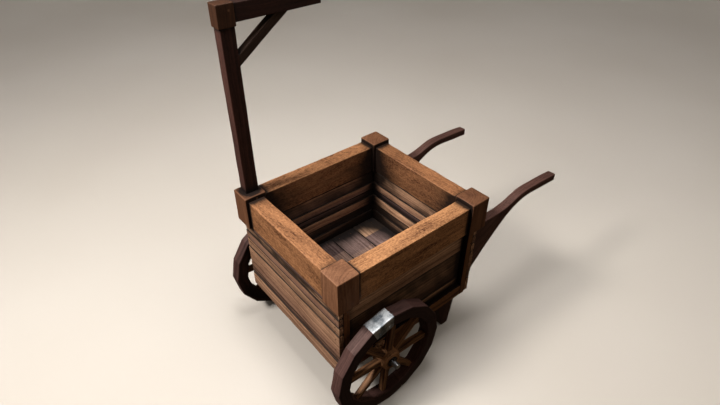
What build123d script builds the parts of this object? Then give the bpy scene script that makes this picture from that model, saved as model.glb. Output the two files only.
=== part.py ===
from build123d import *
from math import atan2, ceil, cos, degrees, floor, radians, sin
import os

# Two-wheeled wooden hand cart: an open box with a double skin of boards under heavy top rails,
# two spoked wheels on a fixed steel axle, a pair of shafts with legs, and a tall post with an arm
# on the front left corner. Millimetres. +X is the cart's right, +Y runs back to the handles, +Z up.
# The origin is on the ground under the middle of the whole cart, and spans along Y are given from
# the middle of the box, which lies BOX_Y from the origin.

# Wheels and axle
WHEEL_RADIUS = 300.0  # centre to a corner of the rim, which has straight facets
RIM_FACETS = 16
RIM_DEPTH = 63.0
RIM_WIDTH = 62.0
RIM_GAP = 33.0  # between the side of the box and the rim
FELLOES = 4
SPOKES = 8
FIRST_SPOKE = 84.5  # degrees from +Y towards +Z
SPOKE_FOOT = (32.0, 30.0)  # along the axle, and round the wheel
SPOKE_TIP = (28.0, 24.0)
SPOKE_SINK = 8.0  # spokes are scribed to the hub from this far inside it
TENON_LAP = 12.0  # a spoke's tenons run this far back into it
FOOT_TENON = (24.0, 14.0, 24.0)  # along the axle, round the wheel, depth in the hub
TIP_TENON_R = 9.0
TIP_TENON = 34.0
HUB_RADIUS = 58.0
HUB_END_RADIUS = 47.0
HUB_LENGTH = 90.0
BUSH_WALL = 8.0
FELLOE_GAP = 0.4
DOWEL_R = 8.0
DOWEL_LENGTH = 56.0
AXLE_R = 14.0
AXLE_Y = -203.0  # the wheels stand forward of the middle of the box
AXLE_TIP = 36.0  # stub outside the outer washer
WASHER_R = 27.0
WASHER_T = 4.0
LINCH_PIN_R = 3.5
LINCH_PIN_LENGTH = 62.0
AXLE_PLATE = (90.0, 60.0, 6.0)  # along the cart, up, thickness
AXLE_PLATE_SCREW_R = 3.0
AXLE_PLATE_SCREW_IN = 12.0  # from the plate's end
AXLE_PLATE_SCREW = 30.0
STRAP_T = 2.5
STRAP_FACET = 4  # facets counted from +Y towards +Z
STRAP_SHORT = 4.0  # the strap's sides stop this far outside the rim's inner edge
RIVET_R = 3.5
RIVET_HEAD = (7.0, 2.5)
RIVET_IN = 12.0  # from the rim's inner edge
RIVETS_ROUND = (5.0, 17.5)  # degrees from the strap's start

# Box
BOX_WIDTH = 800.0  # over the corner caps, across the cart
BOX_LENGTH = 880.0  # over the corner caps, along the cart
CAP_SIDE = 110.0
CAP_HEIGHT = 174.0
CAP_RISE = 20.0  # caps stand this far above the rails
RAIL_INSET = 14.0  # rails lie back from the caps' outer faces
RAIL_THICKNESS = 83.0
RAIL_REBATE = 22.0  # the lining runs up behind the rails by this much
WALL_HEIGHT = 440.0  # underside of the sills to underside of the caps
LINING_T = 20.0
SIDE_BOARD_T = 24.0
END_BOARD_T = 26.0
CORNER_POST = (52.0, 34.0)  # across and along the cart
SILL_HEIGHT = 68.0
CROSS_SILL_HEIGHT = 82.0
END_BOARD_LIFT = 7.0  # end boards stop this far above the sills' underside
FLOOR_T = 32.0
JOIST = (50.0, 70.0)
JOISTS = 3
BOARD_GAP = 1.2
LINING_COURSES = (92.0, 48.0, 56.0, 40.0, 48.0, 96.0)  # board widths, bottom to top
SIDE_COURSES = (44.0, 184.0, 120.0, 26.0)
END_COURSES = (88.0, 40.0, 144.0, 56.0, 48.0, 36.0, 22.0)
FLOOR_COURSES = (63.0, 156.0, 156.0, 156.0, 154.0)  # front to back
RAIL_TENON = (30.0, 80.0, 36.0)  # thickness, height, length
POST_TENON_INSET = 8.0
POST_TENON = 40.0
SILL_TENON = (16.0, 20.0, 24.0)

# Shafts and legs
SHAFT_WIDTH = 48.0
SHAFT_INSET = 25.0  # from the side of the box to a shaft's outer face
SHAFT_LENGTH = 678.0  # back of the box to the end of the grip
SHAFT_TOP = 403.0  # top of the knee over the sills' underside
SHAFT_TENON = (20.0, 60.0, 48.0)
SHAFT_TENON_INSET = 3.2  # from the inner side of the corner post to a shaft's tenons
SHAFT_TENONS_Z = (205.0, 345.0)  # middle of each tenon over the sills' underside
LEG_WIDTH = 48.0
LEG_GAP = 3.0  # between a leg's outer face and the inner side of the corner post
LEG_CHEEK_T = 25.0
LEG_CHEEK = (80.0, 76.0)  # along the cart, and up beside the joist
CHEEK_LAP = 1.0  # the cheek runs this far down into the leg
COACH_SCREW_R = 5.0
COACH_SCREW_LENGTH = 66.0
COACH_SCREW_HEAD = (9.0, 6.0)
COACH_SCREWS_Z = (24.0, 54.0)  # over the sills' underside

# Post, head, arm and brace
MAST = (53.0, 65.0)
MAST_HEIGHT = 757.0
MAST_OFFSET = (-8.0, 6.0)  # from the middle of its cap
MAST_TENON_INSET = 11.0
MAST_FOOT_TENON = 34.0
MAST_HEAD_TENON = 22.0
HEAD = (62.0, 77.0, 91.0)
ARM_WIDTH = 50.0
ARM_HEIGHT = 73.0
ARM_DROP = 5.0  # top of the arm below the top of the head
ARM_LENGTH = 398.0
ARM_TENON = (22.0, 40.0, 48.0)
BRACE_WIDTH = 38.0
BRACE_DEPTH = 40.0
BRACE_REACH = 246.0  # along the arm, from the post
BRACE_DROP = 177.0  # down the post, from the arm
PEG_R = 5.0

FIT = 0.2  # clearance round a joint between fixed pieces
RUNNING_FIT = 0.05  # radial clearance of the wheels on the axle
END_PLAY = 0.4  # between a hub and a washer
EDGE = 2.5  # chamfer on heavy timbers

# Places that follow from the sizes
AXLE_Z = WHEEL_RADIUS
SILL_BOTTOM = AXLE_Z - SILL_HEIGHT / 2
SILL_TOP = SILL_BOTTOM + SILL_HEIGHT
FLOOR_BOTTOM = SILL_BOTTOM + CROSS_SILL_HEIGHT
FLOOR_TOP = FLOOR_BOTTOM + FLOOR_T
CAP_BOTTOM = SILL_BOTTOM + WALL_HEIGHT
CAP_TOP = CAP_BOTTOM + CAP_HEIGHT
RAIL_TOP = CAP_TOP - CAP_RISE
HALF_X, HALF_Y = BOX_WIDTH / 2, BOX_LENGTH / 2
INNER_X = HALF_X - RAIL_INSET - RAIL_THICKNESS  # inside faces of the lining
INNER_Y = HALF_Y - RAIL_INSET - RAIL_THICKNESS
POST_X = (INNER_X + LINING_T, INNER_X + LINING_T + CORNER_POST[0])
POST_Y = (INNER_Y + LINING_T, INNER_Y + LINING_T + CORNER_POST[1])
BACK_FACE = POST_Y[1] + END_BOARD_T
CAP_IN_X, CAP_IN_Y = HALF_X - CAP_SIDE, HALF_Y - CAP_SIDE
REACH_BACK = BACK_FACE + SHAFT_LENGTH
REACH_FRONT = min(AXLE_Y - WHEEL_RADIUS, -HALF_Y)
BOX_Y = -(REACH_BACK + REACH_FRONT) / 2
PLATE_X = POST_X[1] + AXLE_PLATE[2]
HUB_X = (PLATE_X + WASHER_T + END_PLAY, PLATE_X + WASHER_T + END_PLAY + HUB_LENGTH)
OUTER_WASHER_X = HUB_X[1] + END_PLAY
AXLE_END = OUTER_WASHER_X + WASHER_T + AXLE_TIP
RIM_X = (POST_X[1] + RIM_GAP, POST_X[1] + RIM_GAP + RIM_WIDTH)
RIM_MID_X = sum(RIM_X) / 2
BUSH_OUTER_R = AXLE_R + RUNNING_FIT + BUSH_WALL

SIDES = (("left", -1), ("right", 1))
ENDS = (("front", -1), ("back", 1))

os.makedirs("parts", exist_ok=True)


def keep(piece, name):
    """Labels a finished piece and writes it to its own file."""
    piece.label = name
    export_step(piece, f"parts/{name}.step")


def span(side, near, far):
    """The span from near to far on one side of the middle, low end first."""
    return tuple(sorted((side * near, side * far)))


def about(middle, size):
    """A span of the given size about its middle."""
    return (middle - size / 2, middle + size / 2)


def grown(limits, by):
    """A span made longer at both ends."""
    return (limits[0] - by, limits[1] + by)


def timber(x, y, z, mode=Mode.ADD):
    """Adds to the open part a squared timber filling three spans, y from the middle of the box."""
    with BuildSketch(Plane.XY.offset(z[0])) as section:
        with Locations((sum(x) / 2, BOX_Y + sum(y) / 2)):
            Rectangle(x[1] - x[0], y[1] - y[0])
    extrude(section.sketch, amount=z[1] - z[0], mode=mode)


def rod(x, y, z, radius, mode=Mode.ADD):
    """Adds a round bar along X over the span x, centred on y from the middle of the box and z."""
    with BuildSketch(Plane.YZ.offset(x[0])) as section:
        with Locations((BOX_Y + y, z)):
            Circle(radius)
    extrude(section.sketch, amount=x[1] - x[0], mode=mode)


def courses(bottom, top, widths):
    """Spans of boards laid edge to edge from bottom to top, ripped in proportion to widths."""
    share = (top - bottom) / sum(widths)
    spans, low = [], bottom
    for width in widths:
        spans.append((low + BOARD_GAP / 2, low + width * share - BOARD_GAP / 2))
        low += width * share
    spans[0] = (bottom, spans[0][1])
    spans[-1] = (spans[-1][0], top)
    return spans


# Rail tenons sit between the tenon of the corner post below and that of the mast above.
RAIL_TENON_Z = about((CAP_BOTTOM + RAIL_REBATE + RAIL_TOP) / 2, RAIL_TENON[1])
RAIL_MID_X = INNER_X + RAIL_THICKNESS / 2
RAIL_MID_Y = INNER_Y + RAIL_THICKNESS / 2
MAST_MID = (
    -(HALF_X - CAP_SIDE / 2) + MAST_OFFSET[0],
    -(HALF_Y - CAP_SIDE / 2) + MAST_OFFSET[1],
)
MAST_TENON = (MAST[0] - 2 * MAST_TENON_INSET, MAST[1] - 2 * MAST_TENON_INSET)
CAP_PEG_Z = CAP_TOP - MAST_FOOT_TENON / 2
POST_TENON_X = grown(POST_X, -POST_TENON_INSET)
POST_TENON_Y = grown(POST_Y, -POST_TENON_INSET)
SIDE_SILL_TENON_X = about(sum(POST_X) / 2, SILL_TENON[0])
SIDE_SILL_TENON_Z = about(SILL_TOP - SILL_TENON[1] / 2 - FIT - EDGE, SILL_TENON[1])
CROSS_SILL_TENON_Y = about(sum(POST_Y) / 2, SILL_TENON[0])
CROSS_SILL_TENON_Z = about(SILL_BOTTOM + SILL_TENON[1] / 2 + FIT + EDGE, SILL_TENON[1])

# Corner caps: heavy square blocks over the corner posts, mortised for both rails.
for end, e in ENDS:
    for side, s in SIDES:
        with BuildPart() as cap:
            cap_x, cap_y = span(s, CAP_IN_X, HALF_X), span(e, CAP_IN_Y, HALF_Y)
            timber(cap_x, cap_y, (CAP_BOTTOM, CAP_TOP))
            chamfer(cap.edges(), EDGE)
            tenon_y = grown(about(e * RAIL_MID_Y, RAIL_TENON[0]), FIT)
            tenon_x = grown(about(s * RAIL_MID_X, RAIL_TENON[0]), FIT)
            tenon_z = grown(RAIL_TENON_Z, FIT)
            end_mortise = span(s, CAP_IN_X, CAP_IN_X + RAIL_TENON[2] + FIT)
            side_mortise = span(e, CAP_IN_Y, CAP_IN_Y + RAIL_TENON[2] + FIT)
            timber(end_mortise, tenon_y, tenon_z, mode=Mode.SUBTRACT)
            timber(tenon_x, side_mortise, tenon_z, mode=Mode.SUBTRACT)
            post_x = grown(span(s, *POST_TENON_X), FIT)
            post_y = grown(span(e, *POST_TENON_Y), FIT)
            post_z = (CAP_BOTTOM, CAP_BOTTOM + POST_TENON + FIT)
            timber(post_x, post_y, post_z, mode=Mode.SUBTRACT)
            if (end, side) == ("front", "left"):
                mast_x = grown(about(MAST_MID[0], MAST_TENON[0]), FIT)
                mast_y = grown(about(MAST_MID[1], MAST_TENON[1]), FIT)
                mast_z = (CAP_TOP - MAST_FOOT_TENON - FIT, CAP_TOP)
                timber(mast_x, mast_y, mast_z, mode=Mode.SUBTRACT)
                rod(cap_x, MAST_MID[1], CAP_PEG_Z, PEG_R + FIT, mode=Mode.SUBTRACT)
        keep(cap.part, f"cap_{end}_{side}")

# Top rails, tenoned into the caps, with a rebate for the top of the lining.
REBATE_Z = (CAP_BOTTOM, CAP_BOTTOM + RAIL_REBATE)
for end, e in ENDS:
    with BuildPart() as end_rail:
        rail_y = span(e, INNER_Y, INNER_Y + RAIL_THICKNESS)
        timber((-CAP_IN_X, CAP_IN_X), rail_y, (CAP_BOTTOM, RAIL_TOP))
        chamfer(end_rail.edges().filter_by(Axis.X), EDGE)
        tenon_length = CAP_IN_X + RAIL_TENON[2]
        timber((-tenon_length, tenon_length), about(e * RAIL_MID_Y, RAIL_TENON[0]), RAIL_TENON_Z)
        rebate_y = span(e, INNER_Y, INNER_Y + LINING_T + FIT)
        timber((-CAP_IN_X, CAP_IN_X), rebate_y, REBATE_Z, mode=Mode.SUBTRACT)
    keep(end_rail.part, f"rail_{end}")
for side, s in SIDES:
    with BuildPart() as side_rail:
        rail_x = span(s, INNER_X, INNER_X + RAIL_THICKNESS)
        timber(rail_x, (-CAP_IN_Y, CAP_IN_Y), (CAP_BOTTOM, RAIL_TOP))
        chamfer(side_rail.edges().filter_by(Axis.Y), EDGE)
        tenon_length = CAP_IN_Y + RAIL_TENON[2]
        timber(about(s * RAIL_MID_X, RAIL_TENON[0]), (-tenon_length, tenon_length), RAIL_TENON_Z)
        rebate_x = span(s, INNER_X, INNER_X + LINING_T + FIT)
        timber(rebate_x, (-CAP_IN_Y, CAP_IN_Y), REBATE_Z, mode=Mode.SUBTRACT)
    keep(side_rail.part, f"rail_{side}")

# Corner posts between the sills and the caps. The back pair also takes the shafts' tenons.
SHAFT_X = (POST_X[1] - SHAFT_INSET - SHAFT_WIDTH, POST_X[1] - SHAFT_INSET)
SHAFT_TENON_X = (POST_X[0] + SHAFT_TENON_INSET, POST_X[0] + SHAFT_TENON_INSET + SHAFT_TENON[0])
SHAFT_TENON_Y = (BACK_FACE - SHAFT_TENON[2], BACK_FACE)
SHAFT_TENONS = [about(SILL_BOTTOM + z, SHAFT_TENON[1]) for z in SHAFT_TENONS_Z]
SHAFT_PEG_Y = (SHAFT_TENON_Y[0] + POST_Y[1]) / 2


def cut_shaft_mortises(s):
    """Cuts the mortises of one shaft's two tenons from the open part."""
    for tenon_z in SHAFT_TENONS:
        mortise_x = grown(span(s, *SHAFT_TENON_X), FIT)
        mortise_y = (SHAFT_TENON_Y[0] - FIT, SHAFT_TENON_Y[1])
        timber(mortise_x, mortise_y, grown(tenon_z, FIT), mode=Mode.SUBTRACT)


for end, e in ENDS:
    for side, s in SIDES:
        with BuildPart() as corner_post:
            post_x, post_y = span(s, *POST_X), span(e, *POST_Y)
            timber(post_x, post_y, (SILL_BOTTOM, CAP_BOTTOM))
            tenon_z = (CAP_BOTTOM, CAP_BOTTOM + POST_TENON)
            timber(span(s, *POST_TENON_X), span(e, *POST_TENON_Y), tenon_z)
            side_x = grown(span(s, *SIDE_SILL_TENON_X), FIT)
            side_y = span(e, POST_Y[0], POST_Y[0] + SILL_TENON[2] + FIT)
            timber(side_x, side_y, grown(SIDE_SILL_TENON_Z, FIT), mode=Mode.SUBTRACT)
            cross_x = span(s, POST_X[0], POST_X[0] + SILL_TENON[2] + FIT)
            cross_y = grown(span(e, *CROSS_SILL_TENON_Y), FIT)
            timber(cross_x, cross_y, grown(CROSS_SILL_TENON_Z, FIT), mode=Mode.SUBTRACT)
            if end == "back":
                cut_shaft_mortises(s)
                for tenon_z in SHAFT_TENONS:
                    rod(post_x, SHAFT_PEG_Y, sum(tenon_z) / 2, PEG_R + FIT, mode=Mode.SUBTRACT)
        keep(corner_post.part, f"corner_post_{end}_{side}")

# Sills: the side pair carries the axle, the cross pair the ends of the floor.
PLATE_SCREWS_Y = [AXLE_Y + s * (AXLE_PLATE[0] / 2 - AXLE_PLATE_SCREW_IN) for s in (-1, 1)]
for side, s in SIDES:
    with BuildPart() as side_sill:
        timber(span(s, *POST_X), (-POST_Y[0], POST_Y[0]), (SILL_BOTTOM, SILL_TOP))
        tenon_length = POST_Y[0] + SILL_TENON[2]
        timber(span(s, *SIDE_SILL_TENON_X), (-tenon_length, tenon_length), SIDE_SILL_TENON_Z)
        rod(span(s, *POST_X), AXLE_Y, AXLE_Z, AXLE_R + FIT, mode=Mode.SUBTRACT)
        for screw_y in PLATE_SCREWS_Y:
            screw_x = span(s, POST_X[1] - AXLE_PLATE_SCREW - FIT, POST_X[1])
            rod(screw_x, screw_y, AXLE_Z, AXLE_PLATE_SCREW_R + FIT, mode=Mode.SUBTRACT)
    keep(side_sill.part, f"sill_{side}")
for end, e in ENDS:
    with BuildPart() as cross_sill:
        sill_y = span(e, INNER_Y, POST_Y[1])
        timber((-POST_X[0], POST_X[0]), sill_y, (SILL_BOTTOM, FLOOR_BOTTOM))
        tenon_length = POST_X[0] + SILL_TENON[2]
        tenon_y = span(e, *CROSS_SILL_TENON_Y)
        timber((-tenon_length, tenon_length), tenon_y, CROSS_SILL_TENON_Z)
    keep(cross_sill.part, f"sill_{end}")

# Lining: the inner skin, from the sills up past the floor's edges, notched round the caps, its
# top in the rails' rebates.
LINING_TOP = CAP_BOTTOM + RAIL_REBATE - FIT


def cut_cap_notches():
    """Cuts the four caps' corners from the open part."""
    for s in (-1, 1):
        for e in (-1, 1):
            notch_x = span(s, CAP_IN_X - FIT, HALF_X)
            notch_y = span(e, CAP_IN_Y - FIT, HALF_Y)
            timber(notch_x, notch_y, (CAP_BOTTOM - FIT, CAP_TOP), mode=Mode.SUBTRACT)


for end, e in ENDS:
    with BuildPart() as end_lining:
        for board_z in courses(FLOOR_BOTTOM, LINING_TOP, LINING_COURSES):
            timber((-POST_X[0], POST_X[0]), span(e, INNER_Y, POST_Y[0]), board_z)
        cut_cap_notches()
    keep(end_lining.part, f"lining_{end}")
for side, s in SIDES:
    with BuildPart() as side_lining:
        for board_z in courses(FLOOR_BOTTOM, LINING_TOP, LINING_COURSES):
            timber(span(s, INNER_X, POST_X[0]), (-INNER_Y, INNER_Y), board_z)
        cut_cap_notches()
    keep(side_lining.part, f"lining_{side}")

# Outer boards: over the posts at the ends, between the posts at the sides.
for end, e in ENDS:
    with BuildPart() as end_boards:
        for board_z in courses(SILL_BOTTOM + END_BOARD_LIFT, CAP_BOTTOM, END_COURSES):
            timber((-POST_X[1], POST_X[1]), span(e, POST_Y[1], BACK_FACE), board_z)
        if end == "back":
            for side, s in SIDES:
                cut_shaft_mortises(s)
    keep(end_boards.part, f"boards_{end}")
for side, s in SIDES:
    with BuildPart() as side_boards:
        for board_z in courses(SILL_TOP, CAP_BOTTOM, SIDE_COURSES):
            board_x = span(s, POST_X[0], POST_X[0] + SIDE_BOARD_T)
            timber(board_x, (-POST_Y[0], POST_Y[0]), board_z)
    keep(side_boards.part, f"boards_{side}")

# Shafts: deep at the box, where two tenons enter the corner post, and rising to a slim grip.
# Outlines are (distance behind the back of the box, height over the sills' underside).
SHAFT_OVER = [(203, 400), (266, 408), (373, 440), (439, 445), (SHAFT_LENGTH, 435)]
SHAFT_UNDER = [(SHAFT_LENGTH, 392), (479, 404), (402, 401), (268, 340), (95, 181), (0, 78)]


def behind(points):
    """Places outline points in the cart's Y and Z."""
    return [(BOX_Y + BACK_FACE + y, SILL_BOTTOM + z) for y, z in points]


for side, s in SIDES:
    with BuildPart() as shaft:
        with BuildSketch(Plane.YZ.offset(span(s, *SHAFT_X)[0])):
            with BuildLine():
                over = Spline(behind(SHAFT_OVER))
                under = Spline(behind(SHAFT_UNDER))
                Line(over @ 1, under @ 0)
                Polyline(under @ 1, *behind([(0, SHAFT_TOP)]), over @ 0)
            make_face()
        extrude(amount=SHAFT_WIDTH)
        for tenon_z in SHAFT_TENONS:
            timber(span(s, *SHAFT_TENON_X), SHAFT_TENON_Y, tenon_z)
            peg_x, peg_z = span(s, *SHAFT_TENON_X), sum(tenon_z) / 2
            rod(peg_x, SHAFT_PEG_Y, peg_z, PEG_R + FIT, mode=Mode.SUBTRACT)
    keep(shaft.part, f"shaft_{side}")

# Legs: wide under the box and slim at the foot, each with a cheek screwed to the outer joist.
# Outlines are (distance behind the back of the box, share of the height up to the sills).
LEG_X = (POST_X[0] - LEG_GAP - LEG_WIDTH, POST_X[0] - LEG_GAP)
CHEEK_X = (LEG_X[1] - LEG_CHEEK_T, LEG_X[1])
CHEEK_Y = (INNER_Y - FIT - LEG_CHEEK[0], INNER_Y - FIT)
SCREW_X = (CHEEK_X[0] - JOIST[0], CHEEK_X[0] - JOIST[0] + COACH_SCREW_LENGTH)
LEG_REAR = [(-53, 0), (-25, 0.68), (-11, 1)]
LEG_FORE = [(-167, 1), (-145, 0.66), (-101, 0)]
for side, s in SIDES:
    with BuildPart() as leg:
        with BuildSketch(Plane.YZ.offset(span(s, *LEG_X)[0])):
            with BuildLine():
                rear = Spline([(BOX_Y + BACK_FACE + y, z * SILL_BOTTOM) for y, z in LEG_REAR])
                fore = Spline([(BOX_Y + BACK_FACE + y, z * SILL_BOTTOM) for y, z in LEG_FORE])
                Line(rear @ 1, fore @ 0)
                Line(fore @ 1, rear @ 0)
            make_face()
        extrude(amount=LEG_WIDTH)
        timber(span(s, *CHEEK_X), CHEEK_Y, (SILL_BOTTOM - CHEEK_LAP, SILL_BOTTOM + LEG_CHEEK[1]))
        for screw_z in COACH_SCREWS_Z:
            hole_x = span(s, CHEEK_X[0], SCREW_X[1] + FIT)
            hole_r = COACH_SCREW_R + RUNNING_FIT
            rod(hole_x, sum(CHEEK_Y) / 2, SILL_BOTTOM + screw_z, hole_r, mode=Mode.SUBTRACT)
    keep(leg.part, f"leg_{side}")

with BuildPart() as leg_screws:
    for side, s in SIDES:
        head_x = span(s, SCREW_X[0] - COACH_SCREW_HEAD[1], SCREW_X[0])
        for screw_z in COACH_SCREWS_Z:
            with BuildSketch(Plane.YZ.offset(head_x[0])):
                with Locations((BOX_Y + sum(CHEEK_Y) / 2, SILL_BOTTOM + screw_z)):
                    RegularPolygon(COACH_SCREW_HEAD[0], 6)
            extrude(amount=COACH_SCREW_HEAD[1])
            rod(span(s, *SCREW_X), sum(CHEEK_Y) / 2, SILL_BOTTOM + screw_z, COACH_SCREW_R)
keep(leg_screws.part, "leg_screws")

with BuildPart() as shaft_pegs:
    for side, s in SIDES:
        for tenon_z in SHAFT_TENONS:
            rod(span(s, *POST_X), SHAFT_PEG_Y, sum(tenon_z) / 2, PEG_R)
keep(shaft_pegs.part, "shaft_pegs")

# Joists under the floor, bored for the axle, and the floor boards across them, inside the lining.
JOIST_REACH = CHEEK_X[0] - JOIST[0] / 2
with BuildPart() as joists:
    for number in range(JOISTS):
        joist_x = about(-JOIST_REACH + number * 2 * JOIST_REACH / (JOISTS - 1), JOIST[0])
        timber(joist_x, (-INNER_Y, INNER_Y), (FLOOR_BOTTOM - JOIST[1], FLOOR_BOTTOM))
    rod((-INNER_X, INNER_X), AXLE_Y, AXLE_Z, AXLE_R + FIT, mode=Mode.SUBTRACT)
    for side, s in SIDES:
        for screw_z in COACH_SCREWS_Z:
            hole_x = span(s, SCREW_X[0], CHEEK_X[0])
            hole_r = COACH_SCREW_R + RUNNING_FIT
            rod(hole_x, sum(CHEEK_Y) / 2, SILL_BOTTOM + screw_z, hole_r, mode=Mode.SUBTRACT)
keep(joists.part, "joists")
with BuildPart() as floor_boards:
    for board_y in courses(FIT - INNER_Y, INNER_Y - FIT, FLOOR_COURSES):
        timber((FIT - INNER_X, INNER_X - FIT), board_y, (FLOOR_BOTTOM, FLOOR_TOP))
keep(floor_boards.part, "floor_boards")

# Mast on the front left cap, its head, and the arm and brace that run back over the box.
MAST_TOP = CAP_TOP + MAST_HEIGHT
HEAD_TOP = MAST_TOP + HEAD[2]
HEAD_Y = about(MAST_MID[1], HEAD[1])
MAST_Y = about(MAST_MID[1], MAST[1])
ARM_Z = (HEAD_TOP - ARM_DROP - ARM_HEIGHT, HEAD_TOP - ARM_DROP)
ARM_TENON_Z = (ARM_Z[1] - EDGE - ARM_TENON[1], ARM_Z[1] - EDGE)
ARM_TENON_Y = (HEAD_Y[1] - ARM_TENON[2], HEAD_Y[1])
ARM_PEG = (sum(ARM_TENON_Y) / 2, sum(ARM_TENON_Z) / 2)
MAST_TENON_X = about(MAST_MID[0], MAST_TENON[0])
MAST_TENON_Y = about(MAST_MID[1], MAST_TENON[1])

with BuildPart() as mast:
    timber(about(MAST_MID[0], MAST[0]), MAST_Y, (CAP_TOP, MAST_TOP))
    chamfer(mast.edges().filter_by(Axis.Z), EDGE)
    timber(MAST_TENON_X, MAST_TENON_Y, (CAP_TOP - MAST_FOOT_TENON, MAST_TOP + MAST_HEAD_TENON))
    rod(MAST_TENON_X, MAST_MID[1], CAP_PEG_Z, PEG_R + FIT, mode=Mode.SUBTRACT)
keep(mast.part, "mast")

with BuildPart() as mast_head:
    head_x = about(MAST_MID[0], HEAD[0])
    timber(head_x, HEAD_Y, (MAST_TOP, HEAD_TOP))
    chamfer(mast_head.edges(), EDGE)
    socket_z = (MAST_TOP, MAST_TOP + MAST_HEAD_TENON + FIT)
    timber(grown(MAST_TENON_X, FIT), grown(MAST_TENON_Y, FIT), socket_z, mode=Mode.SUBTRACT)
    mortise_x = grown(about(MAST_MID[0], ARM_TENON[0]), FIT)
    mortise_y = (ARM_TENON_Y[0] - FIT, ARM_TENON_Y[1])
    timber(mortise_x, mortise_y, grown(ARM_TENON_Z, FIT), mode=Mode.SUBTRACT)
    rod(head_x, *ARM_PEG, PEG_R + FIT, mode=Mode.SUBTRACT)
keep(mast_head.part, "mast_head")

with BuildPart() as arm:
    timber(about(MAST_MID[0], ARM_WIDTH), (HEAD_Y[1], HEAD_Y[1] + ARM_LENGTH), ARM_Z)
    chamfer(arm.edges().filter_by(Axis.Y), EDGE)
    timber(about(MAST_MID[0], ARM_TENON[0]), ARM_TENON_Y, ARM_TENON_Z)
    rod(about(MAST_MID[0], ARM_TENON[0]), *ARM_PEG, PEG_R + FIT, mode=Mode.SUBTRACT)
keep(arm.part, "arm")

with BuildPart() as brace:
    slope = atan2(BRACE_DROP, BRACE_REACH)
    post_face, arm_face = BOX_Y + MAST_Y[1], ARM_Z[0]
    with BuildSketch(Plane.YZ.offset(MAST_MID[0] - BRACE_WIDTH / 2)):
        with BuildLine():
            Polyline(
                (post_face, arm_face - BRACE_DROP),
                (post_face + BRACE_REACH, arm_face),
                (post_face + BRACE_REACH - BRACE_DEPTH / sin(slope), arm_face),
                (post_face, arm_face - BRACE_DROP + BRACE_DEPTH / cos(slope)),
                close=True,
            )
        make_face()
    extrude(amount=BRACE_WIDTH)
keep(brace.part, "brace")

with BuildPart() as mast_pegs:
    rod((-HALF_X, -CAP_IN_X), MAST_MID[1], CAP_PEG_Z, PEG_R)
    rod(about(MAST_MID[0], HEAD[0]), *ARM_PEG, PEG_R)
keep(mast_pegs.part, "mast_pegs")

# Axle and what is fixed to it.
PIN_X = OUTER_WASHER_X + WASHER_T + LINCH_PIN_R + FIT
with BuildPart() as axle:
    rod((-AXLE_END, AXLE_END), AXLE_Y, AXLE_Z, AXLE_R)
    chamfer(axle.edges().filter_by(GeomType.CIRCLE), EDGE)
    with Locations(*[(s * PIN_X, BOX_Y + AXLE_Y, AXLE_Z) for s in (-1, 1)]):
        Cylinder(LINCH_PIN_R + RUNNING_FIT, 4 * AXLE_R, mode=Mode.SUBTRACT)
keep(axle.part, "axle")

with BuildPart() as linch_pins:
    for side, s in SIDES:
        with BuildSketch(Plane.XY.offset(AXLE_Z - LINCH_PIN_LENGTH / 2)):
            with Locations((s * PIN_X, BOX_Y + AXLE_Y)):
                Circle(LINCH_PIN_R)
        extrude(amount=LINCH_PIN_LENGTH)
    chamfer(linch_pins.edges().filter_by(GeomType.CIRCLE), LINCH_PIN_R / 3)
keep(linch_pins.part, "linch_pins")

with BuildPart() as washers:
    for side, s in SIDES:
        for inner_end in (PLATE_X, OUTER_WASHER_X):
            washer_x = span(s, inner_end, inner_end + WASHER_T)
            with BuildSketch(Plane.YZ.offset(washer_x[0])):
                with Locations((BOX_Y + AXLE_Y, AXLE_Z)):
                    Circle(WASHER_R)
                    Circle(AXLE_R + RUNNING_FIT, mode=Mode.SUBTRACT)
            extrude(amount=WASHER_T)
keep(washers.part, "washers")

with BuildPart() as axle_plates:
    for side, s in SIDES:
        plate_x = span(s, POST_X[1], PLATE_X)
        timber(plate_x, about(AXLE_Y, AXLE_PLATE[0]), about(AXLE_Z, AXLE_PLATE[1]))
        rod(plate_x, AXLE_Y, AXLE_Z, AXLE_R + RUNNING_FIT, mode=Mode.SUBTRACT)
        for screw_y in PLATE_SCREWS_Y:
            rod(plate_x, screw_y, AXLE_Z, AXLE_PLATE_SCREW_R + FIT, mode=Mode.SUBTRACT)
keep(axle_plates.part, "axle_plates")

with BuildPart() as plate_screws:
    for side, s in SIDES:
        for screw_y in PLATE_SCREWS_Y:
            shank_x = span(s, POST_X[1] - AXLE_PLATE_SCREW, PLATE_X)
            head_x = span(s, PLATE_X, PLATE_X + AXLE_PLATE_SCREW_R)
            rod(shank_x, screw_y, AXLE_Z, AXLE_PLATE_SCREW_R)
            rod(head_x, screw_y, AXLE_Z, 2 * AXLE_PLATE_SCREW_R)
keep(plate_screws.part, "plate_screws")

# Wheels. Angles run from +Y towards +Z about the axle.
FACET = 360 / RIM_FACETS
RIM_INNER_R = WHEEL_RADIUS - RIM_DEPTH
FELLOE_SWEEP = 360 / FELLOES
FIRST_JOINT = FIRST_SPOKE + 180 / SPOKES  # felloes meet half way between two spokes
WHEEL_CENTRE = (BOX_Y + AXLE_Y, AXLE_Z)


def polar(radius, angle):
    """A point in the wheel's plane."""
    turn = radians(angle)
    return (WHEEL_CENTRE[0] + radius * cos(turn), WHEEL_CENTRE[1] + radius * sin(turn))


def facet_point(corner_radius, angle):
    """The point at an angle on a polygon with the rim's facets and the given corner radius."""
    off_middle = radians(angle % FACET - FACET / 2)
    return polar(corner_radius * cos(radians(FACET / 2)) / cos(off_middle), angle)


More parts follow.
